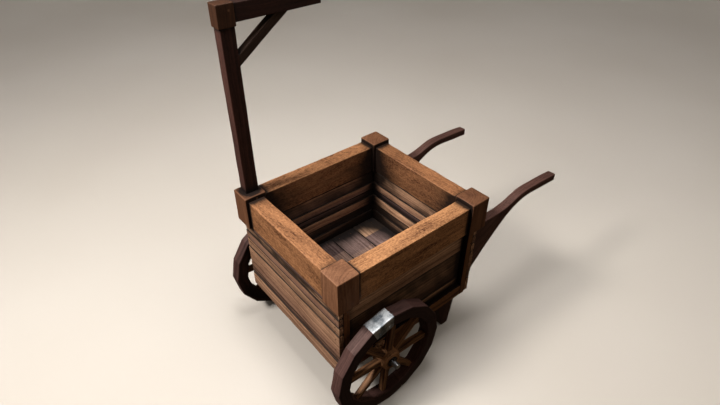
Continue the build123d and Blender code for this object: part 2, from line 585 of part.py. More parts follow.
def facet_path(corner_radius, start, stop):
    """Points along that polygon from start to stop, with every corner between them."""
    corners = range(floor(start / FACET) + 1, ceil(stop / FACET))
    inner = [facet_point(corner_radius, corner * FACET) for corner in corners]
    return [facet_point(corner_radius, start), *inner, facet_point(corner_radius, stop)]


def spoke_angles():
    return [FIRST_SPOKE + number * 360 / SPOKES for number in range(SPOKES)]


def joint_angles():
    return [FIRST_JOINT + number * FELLOE_SWEEP for number in range(FELLOES)]


def spoke_plane(angle, radius):
    """A plane across a spoke, its X along the axle, facing out from the hub."""
    turn = radians(angle)
    y, z = polar(radius, angle)
    return Plane(origin=(0, y, z), x_dir=(1, 0, 0), z_dir=(0, cos(turn), sin(turn)))


def hub_blank(x, grow=0.0, mode=Mode.ADD):
    """Adds to the open part a barrel turned about the axle over the span x."""
    with BuildSketch(Plane.XZ.offset(-WHEEL_CENTRE[0])) as section:
        with BuildLine():
            barrel = ThreePointArc(
                (x[0], AXLE_Z + HUB_END_RADIUS + grow),
                (sum(x) / 2, AXLE_Z + HUB_RADIUS + grow),
                (x[1], AXLE_Z + HUB_END_RADIUS + grow),
            )
            Polyline(barrel @ 1, (x[1], AXLE_Z), (x[0], AXLE_Z), barrel @ 0)
        make_face()
    revolve(section.sketch, axis=Axis((0, *WHEEL_CENTRE), (1, 0, 0)), mode=mode)


def rim_block(x, points, mode=Mode.ADD):
    """Adds to the open part a piece of rim over the span x, outlined in the wheel's plane."""
    with BuildSketch(Plane.YZ.offset(x[0])) as section:
        with BuildLine():
            Polyline(*points, close=True)
        make_face()
    extrude(section.sketch, amount=x[1] - x[0], mode=mode)


def rim_rod(x, radius, angle, rod_radius, mode=Mode.ADD):
    """Adds to the open part a round bar along X through the rim."""
    y, z = polar(radius, angle)
    rod(x, y - BOX_Y, z, rod_radius, mode)


def dowel(x, angle, radius, length, mode=Mode.ADD):
    """Adds to the open part a round peg across a joint, in the middle of the rim."""
    turn = radians(angle)
    y, z = polar(WHEEL_RADIUS - RIM_DEPTH / 2, angle)
    tangent = Vector(0, -sin(turn), cos(turn))
    with BuildSketch(Plane(origin=Vector(x, y, z) - tangent * (length / 2), z_dir=tangent)) as section:
        Circle(radius)
    extrude(section.sketch, amount=length, mode=mode)


STRAP_START = STRAP_FACET * FACET
STRAP_RIVETS = [STRAP_START + turn for turn in RIVETS_ROUND]
RIVET_RADIUS = RIM_INNER_R + RIVET_IN
GAP_ANGLE = degrees(FELLOE_GAP / 2 / RIM_INNER_R)

for side, s in SIDES:
    rim_x = span(s, *RIM_X)
    hub_x = span(s, *HUB_X)
    mid_x = s * RIM_MID_X
    foot_r = HUB_RADIUS - FOOT_TENON[2]

    with BuildPart() as hub:
        hub_blank(hub_x)
        rod(hub_x, AXLE_Y, AXLE_Z, BUSH_OUTER_R + RUNNING_FIT, mode=Mode.SUBTRACT)
        for angle in spoke_angles():
            with BuildSketch(spoke_plane(angle, foot_r - FIT)):
                with Locations((mid_x, 0)):
                    Rectangle(FOOT_TENON[0] + 2 * FIT, FOOT_TENON[1] + 2 * FIT)
            extrude(amount=HUB_RADIUS, mode=Mode.SUBTRACT)
    keep(hub.part, f"hub_{side}")

    with BuildPart() as bush:
        with BuildSketch(Plane.YZ.offset(hub_x[0])):
            with Locations(WHEEL_CENTRE):
                Circle(BUSH_OUTER_R)
                Circle(AXLE_R + RUNNING_FIT, mode=Mode.SUBTRACT)
        extrude(amount=HUB_LENGTH)
    keep(bush.part, f"bush_{side}")

    # Spokes taper from the hub to the rim, scribed to both, with a tenon at each end.
    with BuildPart() as spokes:
        for angle in spoke_angles():
            for radius, size in ((HUB_RADIUS - SPOKE_SINK, SPOKE_FOOT), (RIM_INNER_R, SPOKE_TIP)):
                with BuildSketch(spoke_plane(angle, radius)):
                    with Locations((mid_x, 0)):
                        Rectangle(*size)
            loft()
        rim_block(rim_x, facet_path(RIM_INNER_R, 0, 360)[:-1], mode=Mode.INTERSECT)
        hub_blank(hub_x, FIT, mode=Mode.SUBTRACT)
        for angle in spoke_angles():
            with BuildSketch(spoke_plane(angle, foot_r)):
                with Locations((mid_x, 0)):
                    Rectangle(*FOOT_TENON[:2])
            extrude(amount=FOOT_TENON[2] + TENON_LAP)
            with BuildSketch(spoke_plane(angle, RIM_INNER_R - TENON_LAP)):
                with Locations((mid_x, 0)):
                    Circle(TIP_TENON_R)
            extrude(amount=TIP_TENON + TENON_LAP)
    keep(spokes.part, f"spokes_{side}")

    with BuildPart() as felloes:
        for joint in joint_angles():
            start, stop = joint + GAP_ANGLE, joint + FELLOE_SWEEP - GAP_ANGLE
            outer = facet_path(WHEEL_RADIUS, start, stop)
            inner = facet_path(RIM_INNER_R, start, stop)
            rim_block(rim_x, [*outer, *reversed(inner)])
        for angle in spoke_angles():
            with BuildSketch(spoke_plane(angle, RIM_INNER_R - TENON_LAP)):
                with Locations((mid_x, 0)):
                    Circle(TIP_TENON_R + FIT)
            extrude(amount=TIP_TENON + TENON_LAP + FIT, mode=Mode.SUBTRACT)
        for joint in joint_angles():
            dowel(mid_x, joint, DOWEL_R + RUNNING_FIT, DOWEL_LENGTH + 2 * FIT, mode=Mode.SUBTRACT)
        if side == "right":
            for angle in STRAP_RIVETS:
                rim_rod(rim_x, RIVET_RADIUS, angle, RIVET_R + RUNNING_FIT, mode=Mode.SUBTRACT)
    keep(felloes.part, f"felloes_{side}")

    with BuildPart() as felloe_dowels:
        for joint in joint_angles():
            dowel(mid_x, joint, DOWEL_R, DOWEL_LENGTH)
    keep(felloe_dowels.part, f"felloe_dowels_{side}")

# Steel strap over one felloe joint of the right wheel: a channel bent over the rim and riveted.
STRAP_X = grown(RIM_X, STRAP_T)
STRAP_STOP = STRAP_START + FACET
STRAP_R = WHEEL_RADIUS + STRAP_T / cos(radians(FACET / 2))
with BuildPart() as rim_strap:
    outline = [
        facet_point(STRAP_R, STRAP_START),
        facet_point(STRAP_R, STRAP_STOP),
        facet_point(RIM_INNER_R + STRAP_SHORT, STRAP_STOP),
        facet_point(RIM_INNER_R + STRAP_SHORT, STRAP_START),
    ]
    rim_block(STRAP_X, outline)
    hollow = [
        facet_point(WHEEL_RADIUS, STRAP_START),
        facet_point(WHEEL_RADIUS, STRAP_STOP),
        facet_point(HUB_RADIUS, STRAP_STOP),
        facet_point(HUB_RADIUS, STRAP_START),
    ]
    rim_block(grown(STRAP_X, -STRAP_T), hollow, mode=Mode.SUBTRACT)
    for angle in STRAP_RIVETS:
        rim_rod(STRAP_X, RIVET_RADIUS, angle, RIVET_R + RUNNING_FIT, mode=Mode.SUBTRACT)
keep(rim_strap.part, "rim_strap")

with BuildPart() as strap_rivets:
    for angle in STRAP_RIVETS:
        rim_rod(STRAP_X, RIVET_RADIUS, angle, RIVET_R)
        for head_x in (
            (STRAP_X[0] - RIVET_HEAD[1], STRAP_X[0]),
            (STRAP_X[1], STRAP_X[1] + RIVET_HEAD[1]),
        ):
            rim_rod(head_x, RIVET_RADIUS, angle, RIVET_HEAD[0])
keep(strap_rivets.part, "strap_rivets")
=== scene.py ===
# %% [markdown]
# # A two-wheeled wooden hand cart
# The cart is an open box of worn boards under heavy rails, on two faceted wheels, with a pair of
# shafts behind and a tall post with an arm in front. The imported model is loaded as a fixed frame,
# and every timber is then made again round it as a finer surface with worn edges and its own
# grain. Steel fittings with a plain turned or bent shape stay as they are and get a finish.

# %% Load the frame
import math

import bpy
import numpy as np
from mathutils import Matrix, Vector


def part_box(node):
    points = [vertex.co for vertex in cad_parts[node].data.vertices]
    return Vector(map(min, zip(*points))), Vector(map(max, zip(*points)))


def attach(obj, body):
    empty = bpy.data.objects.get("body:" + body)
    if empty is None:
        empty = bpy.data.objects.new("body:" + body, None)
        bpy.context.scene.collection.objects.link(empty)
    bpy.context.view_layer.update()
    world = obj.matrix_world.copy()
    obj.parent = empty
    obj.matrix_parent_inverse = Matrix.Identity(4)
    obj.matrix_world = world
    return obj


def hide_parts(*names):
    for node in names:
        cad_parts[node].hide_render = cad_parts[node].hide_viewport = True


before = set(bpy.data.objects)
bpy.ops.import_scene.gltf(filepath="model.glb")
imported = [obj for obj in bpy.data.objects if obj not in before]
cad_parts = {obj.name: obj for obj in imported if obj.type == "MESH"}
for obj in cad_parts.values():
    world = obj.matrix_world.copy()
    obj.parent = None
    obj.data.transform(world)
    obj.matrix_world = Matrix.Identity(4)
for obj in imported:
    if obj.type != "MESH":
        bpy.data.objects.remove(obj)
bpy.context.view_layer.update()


def corners(*names):
    """The lowest and highest corner of a box round some of the frame's nodes, as two arrays."""
    boxes = np.array([[list(corner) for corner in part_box(name)] for name in names])
    return boxes[:, 0].min(0), boxes[:, 1].max(0)


# %% [markdown]
# ## Camera, light and floor
# The cart is seen from above its front right corner. A soft lamp stands in front and a little to
# the left, high up, so tops and fronts are bright and the right side falls away into shade. A
# weaker one right above opens up the inside of the box, and a faint warm one on the right keeps
# the shaded side from going black. The floor is left out of the bounced light, because a pale
# floor would lift that side and flatten the timber. Its rim rises in a smooth curve, as paper
# does in a studio, so that no view shows a horizon.

# %% Camera
CAMERA_AT = (1.4852, -1.5183, 2.2789)
CAMERA_AZIMUTH, CAMERA_ELEVATION = 50.67, 37.08  # degrees; azimuth 0 looks along +Y
CAMERA_LENS, SENSOR_WIDTH = 25.7, 36.0  # millimetres

scene = bpy.context.scene


def placed(name, data):
    """A new object at the origin, linked into the scene."""
    made = bpy.data.objects.new(name, data)
    scene.collection.objects.link(made)
    return made


camera = placed("camera", bpy.data.cameras.new("camera"))
camera.data.lens, camera.data.sensor_width = CAMERA_LENS, SENSOR_WIDTH
camera.location = CAMERA_AT
camera.rotation_euler = (
    math.radians(90 - CAMERA_ELEVATION), 0, math.radians(CAMERA_AZIMUTH))
scene.camera = camera
print("camera at", CAMERA_AT)

# %% Lamps
LAMPS = {  # azimuth and elevation in degrees, distance and size in metres, watts, colour
    "key": (-14, 47, 4.6, 0.9, 225, (1.0, 0.93, 0.86)),
    "above": (0, 88, 3.6, 1.3, 64, (1.0, 0.96, 0.92)),
    "side": (110, 35, 5.0, 2.0, 17, (1.0, 0.84, 0.66)),
}
BOX_LOW, BOX_HIGH = corners("floor_boards", "rail_front", "rail_back", "rail_left", "rail_right")
AIM = (BOX_LOW + BOX_HIGH) / 2

for name, (azimuth, elevation, distance, size, watts, colour) in LAMPS.items():
    lamp = placed(name, bpy.data.lights.new(name, "AREA"))
    lamp.data.shape, lamp.data.size = "DISK", size
    lamp.data.energy, lamp.data.color = watts, colour
    turn, lift = math.radians(azimuth), math.radians(elevation)
    away = np.array([
        math.sin(turn) * math.cos(lift), -math.cos(turn) * math.cos(lift), math.sin(lift)])
    lamp.location = AIM + away * distance
    lamp.rotation_euler = (math.radians(90 - elevation), 0, turn)
print(len(LAMPS), "lamps round", AIM.round(2))

# %% [markdown]
# ## Colours and nodes
# Colours are written as sRGB hex values and turned linear by one function. Every node goes into
# its tree through one helper, which sets its fields and links or sets its sockets.


# %% Helpers for materials
def linear(code):
    """An sRGB hex colour as linear red, green, blue and full alpha, by the sRGB curve."""
    parts = np.array([int(code[i:i + 2], 16) for i in (1, 3, 5)]) / 255
    curve = np.where(parts <= 0.04045, parts / 12.92, ((parts + 0.055) / 1.055) ** 2.4)
    return (*curve.tolist(), 1.0)


def feed(tree, node, sockets):
    """Links a node's input sockets to other nodes' outputs, or sets them."""
    for socket, value in sockets.items():
        if isinstance(value, bpy.types.NodeSocket):
            tree.links.new(value, node.inputs[socket])
        else:
            node.inputs[socket].default_value = value


def add(tree, kind, sockets=None, **settings):
    """Adds a shader node of a kind, with its fields set and its sockets fed."""
    made = tree.nodes.new("ShaderNode" + kind)
    for field, value in settings.items():
        setattr(made, field, value)
    feed(tree, made, sockets or {})
    return made


def set_ramp(ramp, stops):
    """Gives a colour ramp its stops, as (place, hex colour) pairs."""
    while len(ramp.elements) < len(stops):
        ramp.elements.new(0.5)
    for element, (place, code) in zip(ramp.elements, stops):
        element.position, element.color = place, linear(code)


def new_material(name):
    """A material with an empty tree, its shader and its output."""
    made = bpy.data.materials.new(name)
    made.use_nodes = True
    tree = made.node_tree
    tree.nodes.clear()
    shader = add(tree, "BsdfPrincipled")
    add(tree, "OutputMaterial", {"Surface": shader.outputs[0]})
    return made, tree, shader


# %% [markdown]
# ## Faces from rings
# The floor, the timbers and the nail heads are all rings of points, one after the other. A ring
# is closed on itself, so each point's neighbour is the next one, rolled round at the end.


# %% Ring faces
def ring_faces(rings, around):
    """The quads between closed rings of points, and triangles that close both ends.

    Two more points follow those of the rings: the middle of the first ring and of the last.
    """
    grid = np.arange(rings * around).reshape(rings, around)
    beside = np.roll(grid, -1, 1)
    quads = np.stack([grid[:-1], beside[:-1], beside[1:], grid[1:]], -1).reshape(-1, 4)
    first, last = (np.full(around, rings * around + k) for k in (0, 1))
    lids = np.concatenate([np.stack([beside[0], grid[0], first], -1),
                           np.stack([grid[-1], beside[-1], last], -1)])
    return quads, lids


# %% Floor
FLOOR_FLAT, FLOOR_REACH, FLOOR_RISE = 6.0, 12.0, 7.0  # metres
FLOOR_RINGS, FLOOR_AROUND = 25, 96
FLOOR_MIDDLE = 0.01  # radius of the one face that closes the middle

# matt paper: no gloss, and a cloudy tint about 2 m across, too faint to catch the eye
floor_finish, tree, shader = new_material("matt_paper_floor")
where = add(tree, "TexCoord").outputs["Object"]
cloud = add(tree, "TexNoise", {"Vector": where, "Scale": 0.5, "Detail": 2.0})
tint = add(tree, "ValToRGB", {"Fac": cloud.outputs["Fac"]})
set_ramp(tint.color_ramp, [(0.3, "#b9b4ad"), (0.7, "#c0bcb6")])
feed(tree, shader, {"Base Color": tint.outputs["Color"], "Roughness": 0.9})

# flat to FLOOR_FLAT, then rising as the cube of the share of the way to the rim
radius = np.r_[FLOOR_MIDDLE, np.linspace(FLOOR_FLAT, FLOOR_REACH, FLOOR_RINGS)]
rise = FLOOR_RISE * np.clip((radius - FLOOR_FLAT) / (FLOOR_REACH - FLOOR_FLAT), 0, 1) ** 3
turn = np.arange(FLOOR_AROUND) * 2 * math.pi / FLOOR_AROUND
bowl = np.stack([np.outer(radius, np.cos(turn)), np.outer(radius, np.sin(turn)),
                 np.repeat(rise[:, None], FLOOR_AROUND, 1)], -1)
bands = ring_faces(len(radius), FLOOR_AROUND)[0][:, ::-1]
mesh = bpy.data.meshes.new("floor")
mesh.from_pydata(bowl.reshape(-1, 3).tolist(), [], [list(range(FLOOR_AROUND)), *bands.tolist()])
mesh.shade_smooth()
mesh.materials.append(floor_finish)
floor = placed("floor", mesh)
floor.visible_diffuse = floor.visible_glossy = False
print("floor", 2 * FLOOR_REACH, "m across, with a rim", FLOOR_RISE, "m high")

# %% Wash on the floor, and the surroundings
# An even, very soft light falls on the floor alone, so that it stays pale far from the lamps.
# The cart still stands in its way, and keeps a soft shadow under it.
WASH_STRENGTH = 1.0  # watts per square metre
WASH_SPREAD = 1.8  # radians across, so its shadow has no edge
AROUND_COLOUR, AROUND_STRENGTH = "#ffdcb4", 0.045

wash = placed("wash", bpy.data.lights.new("wash", "SUN"))
wash.data.energy, wash.data.color = WASH_STRENGTH, (1.0, 0.97, 0.93)
wash.data.angle = WASH_SPREAD
washed = bpy.data.collections.new("washed")
washed.objects.link(floor)
wash.light_linking.receiver_collection = washed

world = bpy.data.worlds.new("studio")
world.use_nodes = True
feed(world.node_tree, world.node_tree.nodes["Background"],
     {"Color": linear(AROUND_COLOUR), "Strength": AROUND_STRENGTH})
scene.world = world
scene.view_settings.view_transform = "Standard"
print("wash of", WASH_STRENGTH, "and surroundings of", AROUND_STRENGTH)

# %% [markdown]
# ## Painted shade from nearby timbers
# The timber is painted darker where nearby timbers would keep light from it: in inside corners,
# under rails and between boards. This painted shade is worked out as the share of the sky that
# nearby timbers hide. From each point, rays go out over a fixed set of directions, and each is
# tested against the boxes of the frame's nodes. Near hits count for more than far ones.

# %% Painted shade at a point
SHADE_NODES = [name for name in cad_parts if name.split("_")[0] in (
    "cap", "rail", "lining", "boards", "corner", "sill", "floor", "joists", "mast", "arm")
    and name != "mast_pegs"]
SHADE_BOXES = [corners(name) for name in SHADE_NODES]
SHADE_RAYS = 96
SHADE_FADE = 0.26  # metres over which a hit loses most of its weight
SKIN = 0.006  # a box whose far side is nearer than this is the point's own

# directions spread evenly over a sphere, along a spiral that turns by the golden angle
step = np.arange(SHADE_RAYS) + 0.5
height = 1 - 2 * step / SHADE_RAYS
turn = math.pi * (1 + math.sqrt(5)) * step
ring = np.sqrt(1 - height ** 2)
RAYS = np.stack([ring * np.cos(turn), ring * np.sin(turn), height], 1)


def painted_shade(points, normals):
    """The painted shade of each point, from 0 to 1: how shut in it is, by the slab test of each
    ray against each box.

    A ray enters a box at the latest of its three entries into the box's slabs and leaves it at
    the earliest of the three exits. A hit's weight is the cosine between ray and normal, times
    an exponential fall with distance.
    """
    points = points.astype(np.float32)
    weight = np.clip(normals @ RAYS.T, 0, None).astype(np.float32)
    per_axis = (1 / RAYS).astype(np.float32)
    hidden = np.zeros_like(weight)
    for low, high in SHADE_BOXES:
        enter, leave = np.zeros_like(weight), np.full_like(weight, np.inf)
        for axis in range(3):
            one = np.outer(low[axis] - points[:, axis], per_axis[:, axis])
            two = np.outer(high[axis] - points[:, axis], per_axis[:, axis])
            np.maximum(enter, np.minimum(one, two), out=enter)
            np.minimum(leave, np.maximum(one, two), out=leave)
        hit = (leave > enter) & (leave > SKIN)
        hidden = np.maximum(hidden, hit * np.exp(-enter / SHADE_FADE))
    return (hidden * weight).sum(1) / np.maximum(weight.sum(1), 1e-9)


print(len(SHADE_BOXES), "boxes give shelter")

# %% [markdown]
# ## A timber as a carried section
# Every timber here is the same idea: a rectangle with rounded corners, carried along a line. The
# corner radius wanders along the length, as handled edges do, and the faces are planed only
# roughly, so they dip inward by a fraction of a millimetre. The ends are rounded over and closed.
# Each point also keeps where it lies in its own piece of wood, which the grain is drawn from.

# %% The carried section
rng = np.random.default_rng(17)
WAVES = 24
WAVE_VECTORS = rng.normal(size=(WAVES, 3)) * np.geomspace(6, 70, WAVES)[:, None]
WAVE_PHASES = rng.uniform(0, 2 * math.pi, WAVES)
STEP = 0.02  # spacing of points along a timber and across its faces
CORNER_WEAR = (0.7, 1.0, 0.7)  # wear at each step round a long corner
CORNER_STEPS = len(CORNER_WEAR)
LIP_DIRT = 0.06  # share of a joint's dirt that lies on the face just beside it
END_STEPS = (0.0, 0.12, 0.45, 1.0)  # shares of the edge radius at which an end is rounded
END_CLOSING = (0.4, 0.75)  # sizes of the two rings that close an end
PITH_AWAY = (0.03, 0.09)  # metres from a timber's middle to the heart of its tree


def waves(points):
    """A smooth wandering value about 0, the sum of sines along seeded directions."""
    return np.sin(points @ WAVE_VECTORS.T + WAVE_PHASES).sum(-1) / math.sqrt(WAVES / 2)


def carry(path, across, depth, half_across, half_depth, edge=0.003, tone=0.5, side_tone=None,
          joint=0.0, dip=0.0005, step=STEP):
    """A closed timber: a rounded rectangle carried along path.

    path, across and depth are the line's key points and the section's two directions there, and
    half_across and half_depth the half sizes. A point is path + across * p + depth * q, where
    (p, q) runs round the rectangle. Near an end the section shrinks by the rise of a quarter
    circle, and on the end itself it shrinks to a point. edge is the corner radius and dip the
    most that a face sinks below flat. The two faces that look along across take the tone given
    for the sides, painted darker as painted shade, and joint is how much dirt lies in the long
    corners.
    """
    path = np.asarray(path, float)
    keys = len(path)
    across, depth = (np.broadcast_to(np.asarray(v, float), (keys, 3)) for v in (across, depth))
    half_across, half_depth = (
        np.broadcast_to(np.asarray(v, float), (keys,)) for v in (half_across, half_depth))
    reach = np.r_[0, np.cumsum(np.linalg.norm(np.diff(path, axis=0), axis=1))]
    length = reach[-1]
    bend = edge * np.array(END_STEPS)
    inner = np.concatenate([
        np.linspace(a, b, max(1, round((b - a) / step)), endpoint=False)
        for a, b in zip(reach[:-1], reach[1:])])
    inner = inner[(inner > 1.8 * edge) & (inner < length - 1.8 * edge)]
    near = np.r_[1.35 * edge] if length > 4 * edge else np.zeros(0)
    station = np.r_[0, 0, bend, near, inner, length - near, length - bend[::-1], length, length]
    shrink = np.ones(len(station))
    shrink[[0, -1]], shrink[[1, -2]] = END_CLOSING
    end = np.minimum(station, length - station)
    inset = edge * (1 - np.sqrt(1 - np.clip(1 - end / edge, 0, 1) ** 2))

    def at(values):
        """Values at the key points, read at every station."""
        columns = np.atleast_2d(values.T)
        return np.stack([np.interp(station, reach, column) for column in columns], -1)

    middle, over, under = at(path), at(across), at(depth)
    a = at(half_across)[:, 0] - inset
    b = at(half_depth)[:, 0] - inset
    offset = rng.uniform(-1, 1, 3)
    corner_seed = np.stack([station * 9 + 7 * k + offset[0] * 40 for k in range(4)], 1)
    wander = 0.5 + 0.5 * np.sin(corner_seed) * np.sin(corner_seed * 2.7 + 1)
    radius = np.minimum(edge * (0.55 + wander), 0.45 * np.minimum(a, b)[:, None])

    sign = np.array([[1, 1], [-1, 1], [-1, -1], [1, -1]])
    arc = np.linspace(0, math.pi / 2, CORNER_STEPS)
    turn = np.arange(4)[:, None] * math.pi / 2 + arc
    round_out = np.stack([np.cos(turn), np.sin(turn)], -1)
    centre = sign * (np.stack([a, b], -1)[:, None] - radius[..., None])
    corner = centre[:, :, None] + radius[:, :, None, None] * round_out
    counts = [max(1, round(2 * half / step)) for half in (
        half_across.max(), half_depth.max(), half_across.max(), half_depth.max())]
    loop, worn, soiled = [], [], []
    for k in range(4):
        loop += [corner[:, k, i] for i in range(CORNER_STEPS)]
        worn += CORNER_WEAR
        soiled += [1.0] * CORNER_STEPS
        start, stop = corner[:, k, -1], corner[:, (k + 1) % 4, 0]
        lip = 0.3 * edge / np.linalg.norm(stop - start, axis=1).mean()
        share = np.r_[lip, np.arange(1, counts[k]) / counts[k], 1 - lip]
        loop += [start + (stop - start) * s for s in share]
        worn += [0.0] * len(share)
        soiled += [LIP_DIRT, *[0.0] * (len(share) - 2), LIP_DIRT]
    loop = np.stack(loop, 1)

    def spread(section):
        """Places on the section, as points in space at every station."""
        p, q = section[..., :1], section[..., 1:]
        return middle[:, None] + p * over[:, None] + q * under[:, None]

    dip_here = dip * (0.5 + 0.5 * np.tanh(waves(spread(loop) + offset)))
    face = np.stack([a, b], -1)[:, None] - 0.5 * radius.min(1)[:, None, None]
    loop = loop - np.sign(loop) * (np.abs(loop) >= face) * dip_here[..., None]
    loop = loop * shrink[:, None, None]
    points = spread(loop)
    pith = rng.uniform(*PITH_AWAY, 2) * rng.choice([-1, 1], 2)
    along = np.broadcast_to((station + offset[0] * 3)[:, None, None], loop[..., :1].shape)
    grain = np.concatenate([along, loop + pith], -1)
    wear = np.broadcast_to(np.array(worn), loop.shape[:2]) * (0.35 + 0.65 * wander.mean(1))[:, None]
    wear = np.maximum(wear, ((end > 0) & (end < 0.9 * edge))[:, None] * 0.8)
    # the two faces that look along across, which take the sides' tone: painted shade keeps them
    # darker
    sideways = np.abs(loop[..., 0]) > np.abs(loop[..., 0]).max(1, keepdims=True) - 0.6 * edge
    own_tone = np.where(sideways, tone if side_tone is None else side_tone, tone)
    dirt = np.broadcast_to(joint * np.array(soiled), loop.shape[:2])
    quads, lids = ring_faces(*loop.shape[:2])
    poles = np.array([[station[0] + offset[0] * 3, *pith], [station[-1] + offset[0] * 3, *pith]])
    every = np.concatenate([points.reshape(-1, 3), middle[[0, -1]]])
    return {
        "points": every, "quads": quads, "lids": lids,
        "grain": np.concatenate([grain.reshape(-1, 3), poles]),
        "wear": np.r_[wear.ravel(), 0, 0],
        "tone": np.r_[own_tone.ravel(), tone, tone],
        "dirt": np.r_[dirt.ravel(), 0, 0],
    }


def beam(low, high, axis, light_fall=0.0, **more):
    """A straight timber filling the box from low to high, its grain along axis.

    Its tone is painted lighter towards its top and darker towards its underside, as light from
    above would fall: it rises by the given amount from its middle to its top and falls as much to
    its underside.
    """
    low, high = np.asarray(low, float), np.asarray(high, float)
    one, two = [k for k in range(3) if k != axis]
    if axis == 1:
        one, two = two, one
    middle, half = (low + high) / 2, (high - low) / 2
    path = np.tile(middle, (2, 1))
    path[:, axis] = low[axis], high[axis]
    basis = np.eye(3)
    made = carry(path, basis[one], basis[two], half[one], half[two], **more)
    # painted light and shade: paler towards the top, darker towards the underside
    made["tone"] = made["tone"] + light_fall * (made["points"][:, 2] - middle[2]) / half[2]
    return made


def plain_shell(points, quads, lids, wear=0.0, tone=0.0):
    """A surface without dirt, its wood's coordinates taken from its own points."""
    same = np.ones(len(points))
    return {"points": points, "quads": quads, "lids": lids, "grain": points,
            "wear": wear * same, "tone": tone * same, "dirt": 0 * same}


# %% [markdown]
# ## From surfaces to pieces
# Several surfaces can make one piece, as the boards of one wall do. The piece's faces are turned
# outward by the sign of the volume that they enclose, and the wood's own values go with it as
# mesh attributes, where a material can read them.


# %% Making a piece
def joined(shells):
    """Several surfaces as one, each facing outward, with their attributes kept in step."""
    points, faces, base = [], [], 0
    for shell in shells:
        p = shell["points"]
        parts = [shell[key] for key in ("quads", "lids") if len(shell[key])]
        volume = sum(
            np.einsum("ij,ij->i", p[f[:, 0]], np.cross(p[f[:, k]], p[f[:, k + 1]])).sum()
            for f in parts for k in range(1, f.shape[1] - 1))
        for f in parts:
            faces += (base + (f if volume > 0 else f[:, ::-1])).tolist()
        points.append(p)
        base += len(p)
    return np.concatenate(points), faces


def piece(name, shells, finish, body="cart", nodes=(), smooth=40):
    """Makes surfaces into one object that rides on a body and stands for some nodes."""
    points, faces = joined(shells)
    mesh = bpy.data.meshes.new(name)
    mesh.from_pydata(points.tolist(), [], faces)
    mesh.update()
    for key, kind, field in (
            ("grain", "FLOAT_VECTOR", "vector"), ("wear", "FLOAT", "value"),
            ("tone", "FLOAT", "value")):
        values = np.concatenate([shell[key] for shell in shells]).astype(np.float32)
        mesh.attributes.new(key, kind, "POINT").data.foreach_set(field, values.ravel())
    normals = np.zeros(len(points) * 3, np.float32)
    mesh.vertices.foreach_get("normal", normals)
    # dirt in the joints, and over it painted shade where nearby timbers would keep light off
    shade_and_dirt = np.concatenate([shell["dirt"] for shell in shells])
    if body == "cart":  # a wheel turns, so it gets no painted shade from the box beside it
        shade_and_dirt = np.maximum(shade_and_dirt, painted_shade(points, normals.reshape(-1, 3)))
    mesh.attributes.new("shade_and_dirt", "FLOAT", "POINT").data.foreach_set(
        "value", shade_and_dirt.astype(np.float32))
    mesh.shade_smooth()
    mesh.set_sharp_from_angle(angle=math.radians(smooth))
    mesh.materials.append(finish)
    made = placed(name, mesh)
    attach(made, body)
    if nodes:
        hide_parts(*nodes)
    print(f"{name}: {len(points)} points, {len(shells)} parts")


def worn_timber(node, shells, finish):
    """A piece of the cart's box or post, named for the one node that it stands for."""
    piece(f"worn_{node}", shells, finish, nodes=[node])


# %% [markdown]
# ## Wood finishes
# All the timber is old softwood and oak, planed once, oiled by hands and darkened by weather.
# Growth rings are cylinders round the heart of the tree, so the distance from that line, read
# through a one-dimensional noise, draws them on every face at once, ends included. Fibres are a
# noise stretched along the grain, and mottle and stains are coarser noises. The board's own tone
# picks its colour, and corners go lighter where they are rubbed. Painted shade darkens the places
# that nearby timbers hide, and dirt darkens the joints between boards. Each finish says how much
# of this darkening it takes before it shows.

# %% Patterns in the wood
# Each is a noise over the grain's coordinates, scaled along the grain and across it by one over
# its size in metres. Real fibres are finer than 1 mm, so they are drawn coarse enough to show.
WOOD_PATTERNS = {
    "drift": ((2.2, 9.0, 9.0), {"Detail": 2.0}),  # the heart line wanders every 450 mm or so
    "fibre": ((14.0, 330.0, 330.0), {"Detail": 3.0}),  # 70 mm long and 3 mm across
    "mottle": ((75.0, 130.0, 130.0), {"Detail": 4.0, "Roughness": 0.7}),  # 13 mm by 8 mm
    "stain": ((4.0, 16.0, 16.0), {"Detail": 3.0, "Roughness": 0.6}),  # 250 mm by 60 mm
}
DRIFT_REACH = 0.06  # metres that the drift moves a ring
PATCH_LENGTH = 0.085  # metres of a board between two changes of tone
FIBRE_SHARE, MOTTLE_SHARE = 0.4, 0.45
FIGURE_RANGE = (0.2, 0.76)  # values of the summed patterns that become full dark and full light
# the colour that the painted shade and the joints' dirt darken the wood towards
SOOT_AND_SHADE, WHITE = "#0a0505", "#ffffff"
WOOD_ROUGH = 0.62
BUMP_HEIGHT = 0.0012  # metres
WOOD_SPECULAR = 0.32  # old oil has gone dull


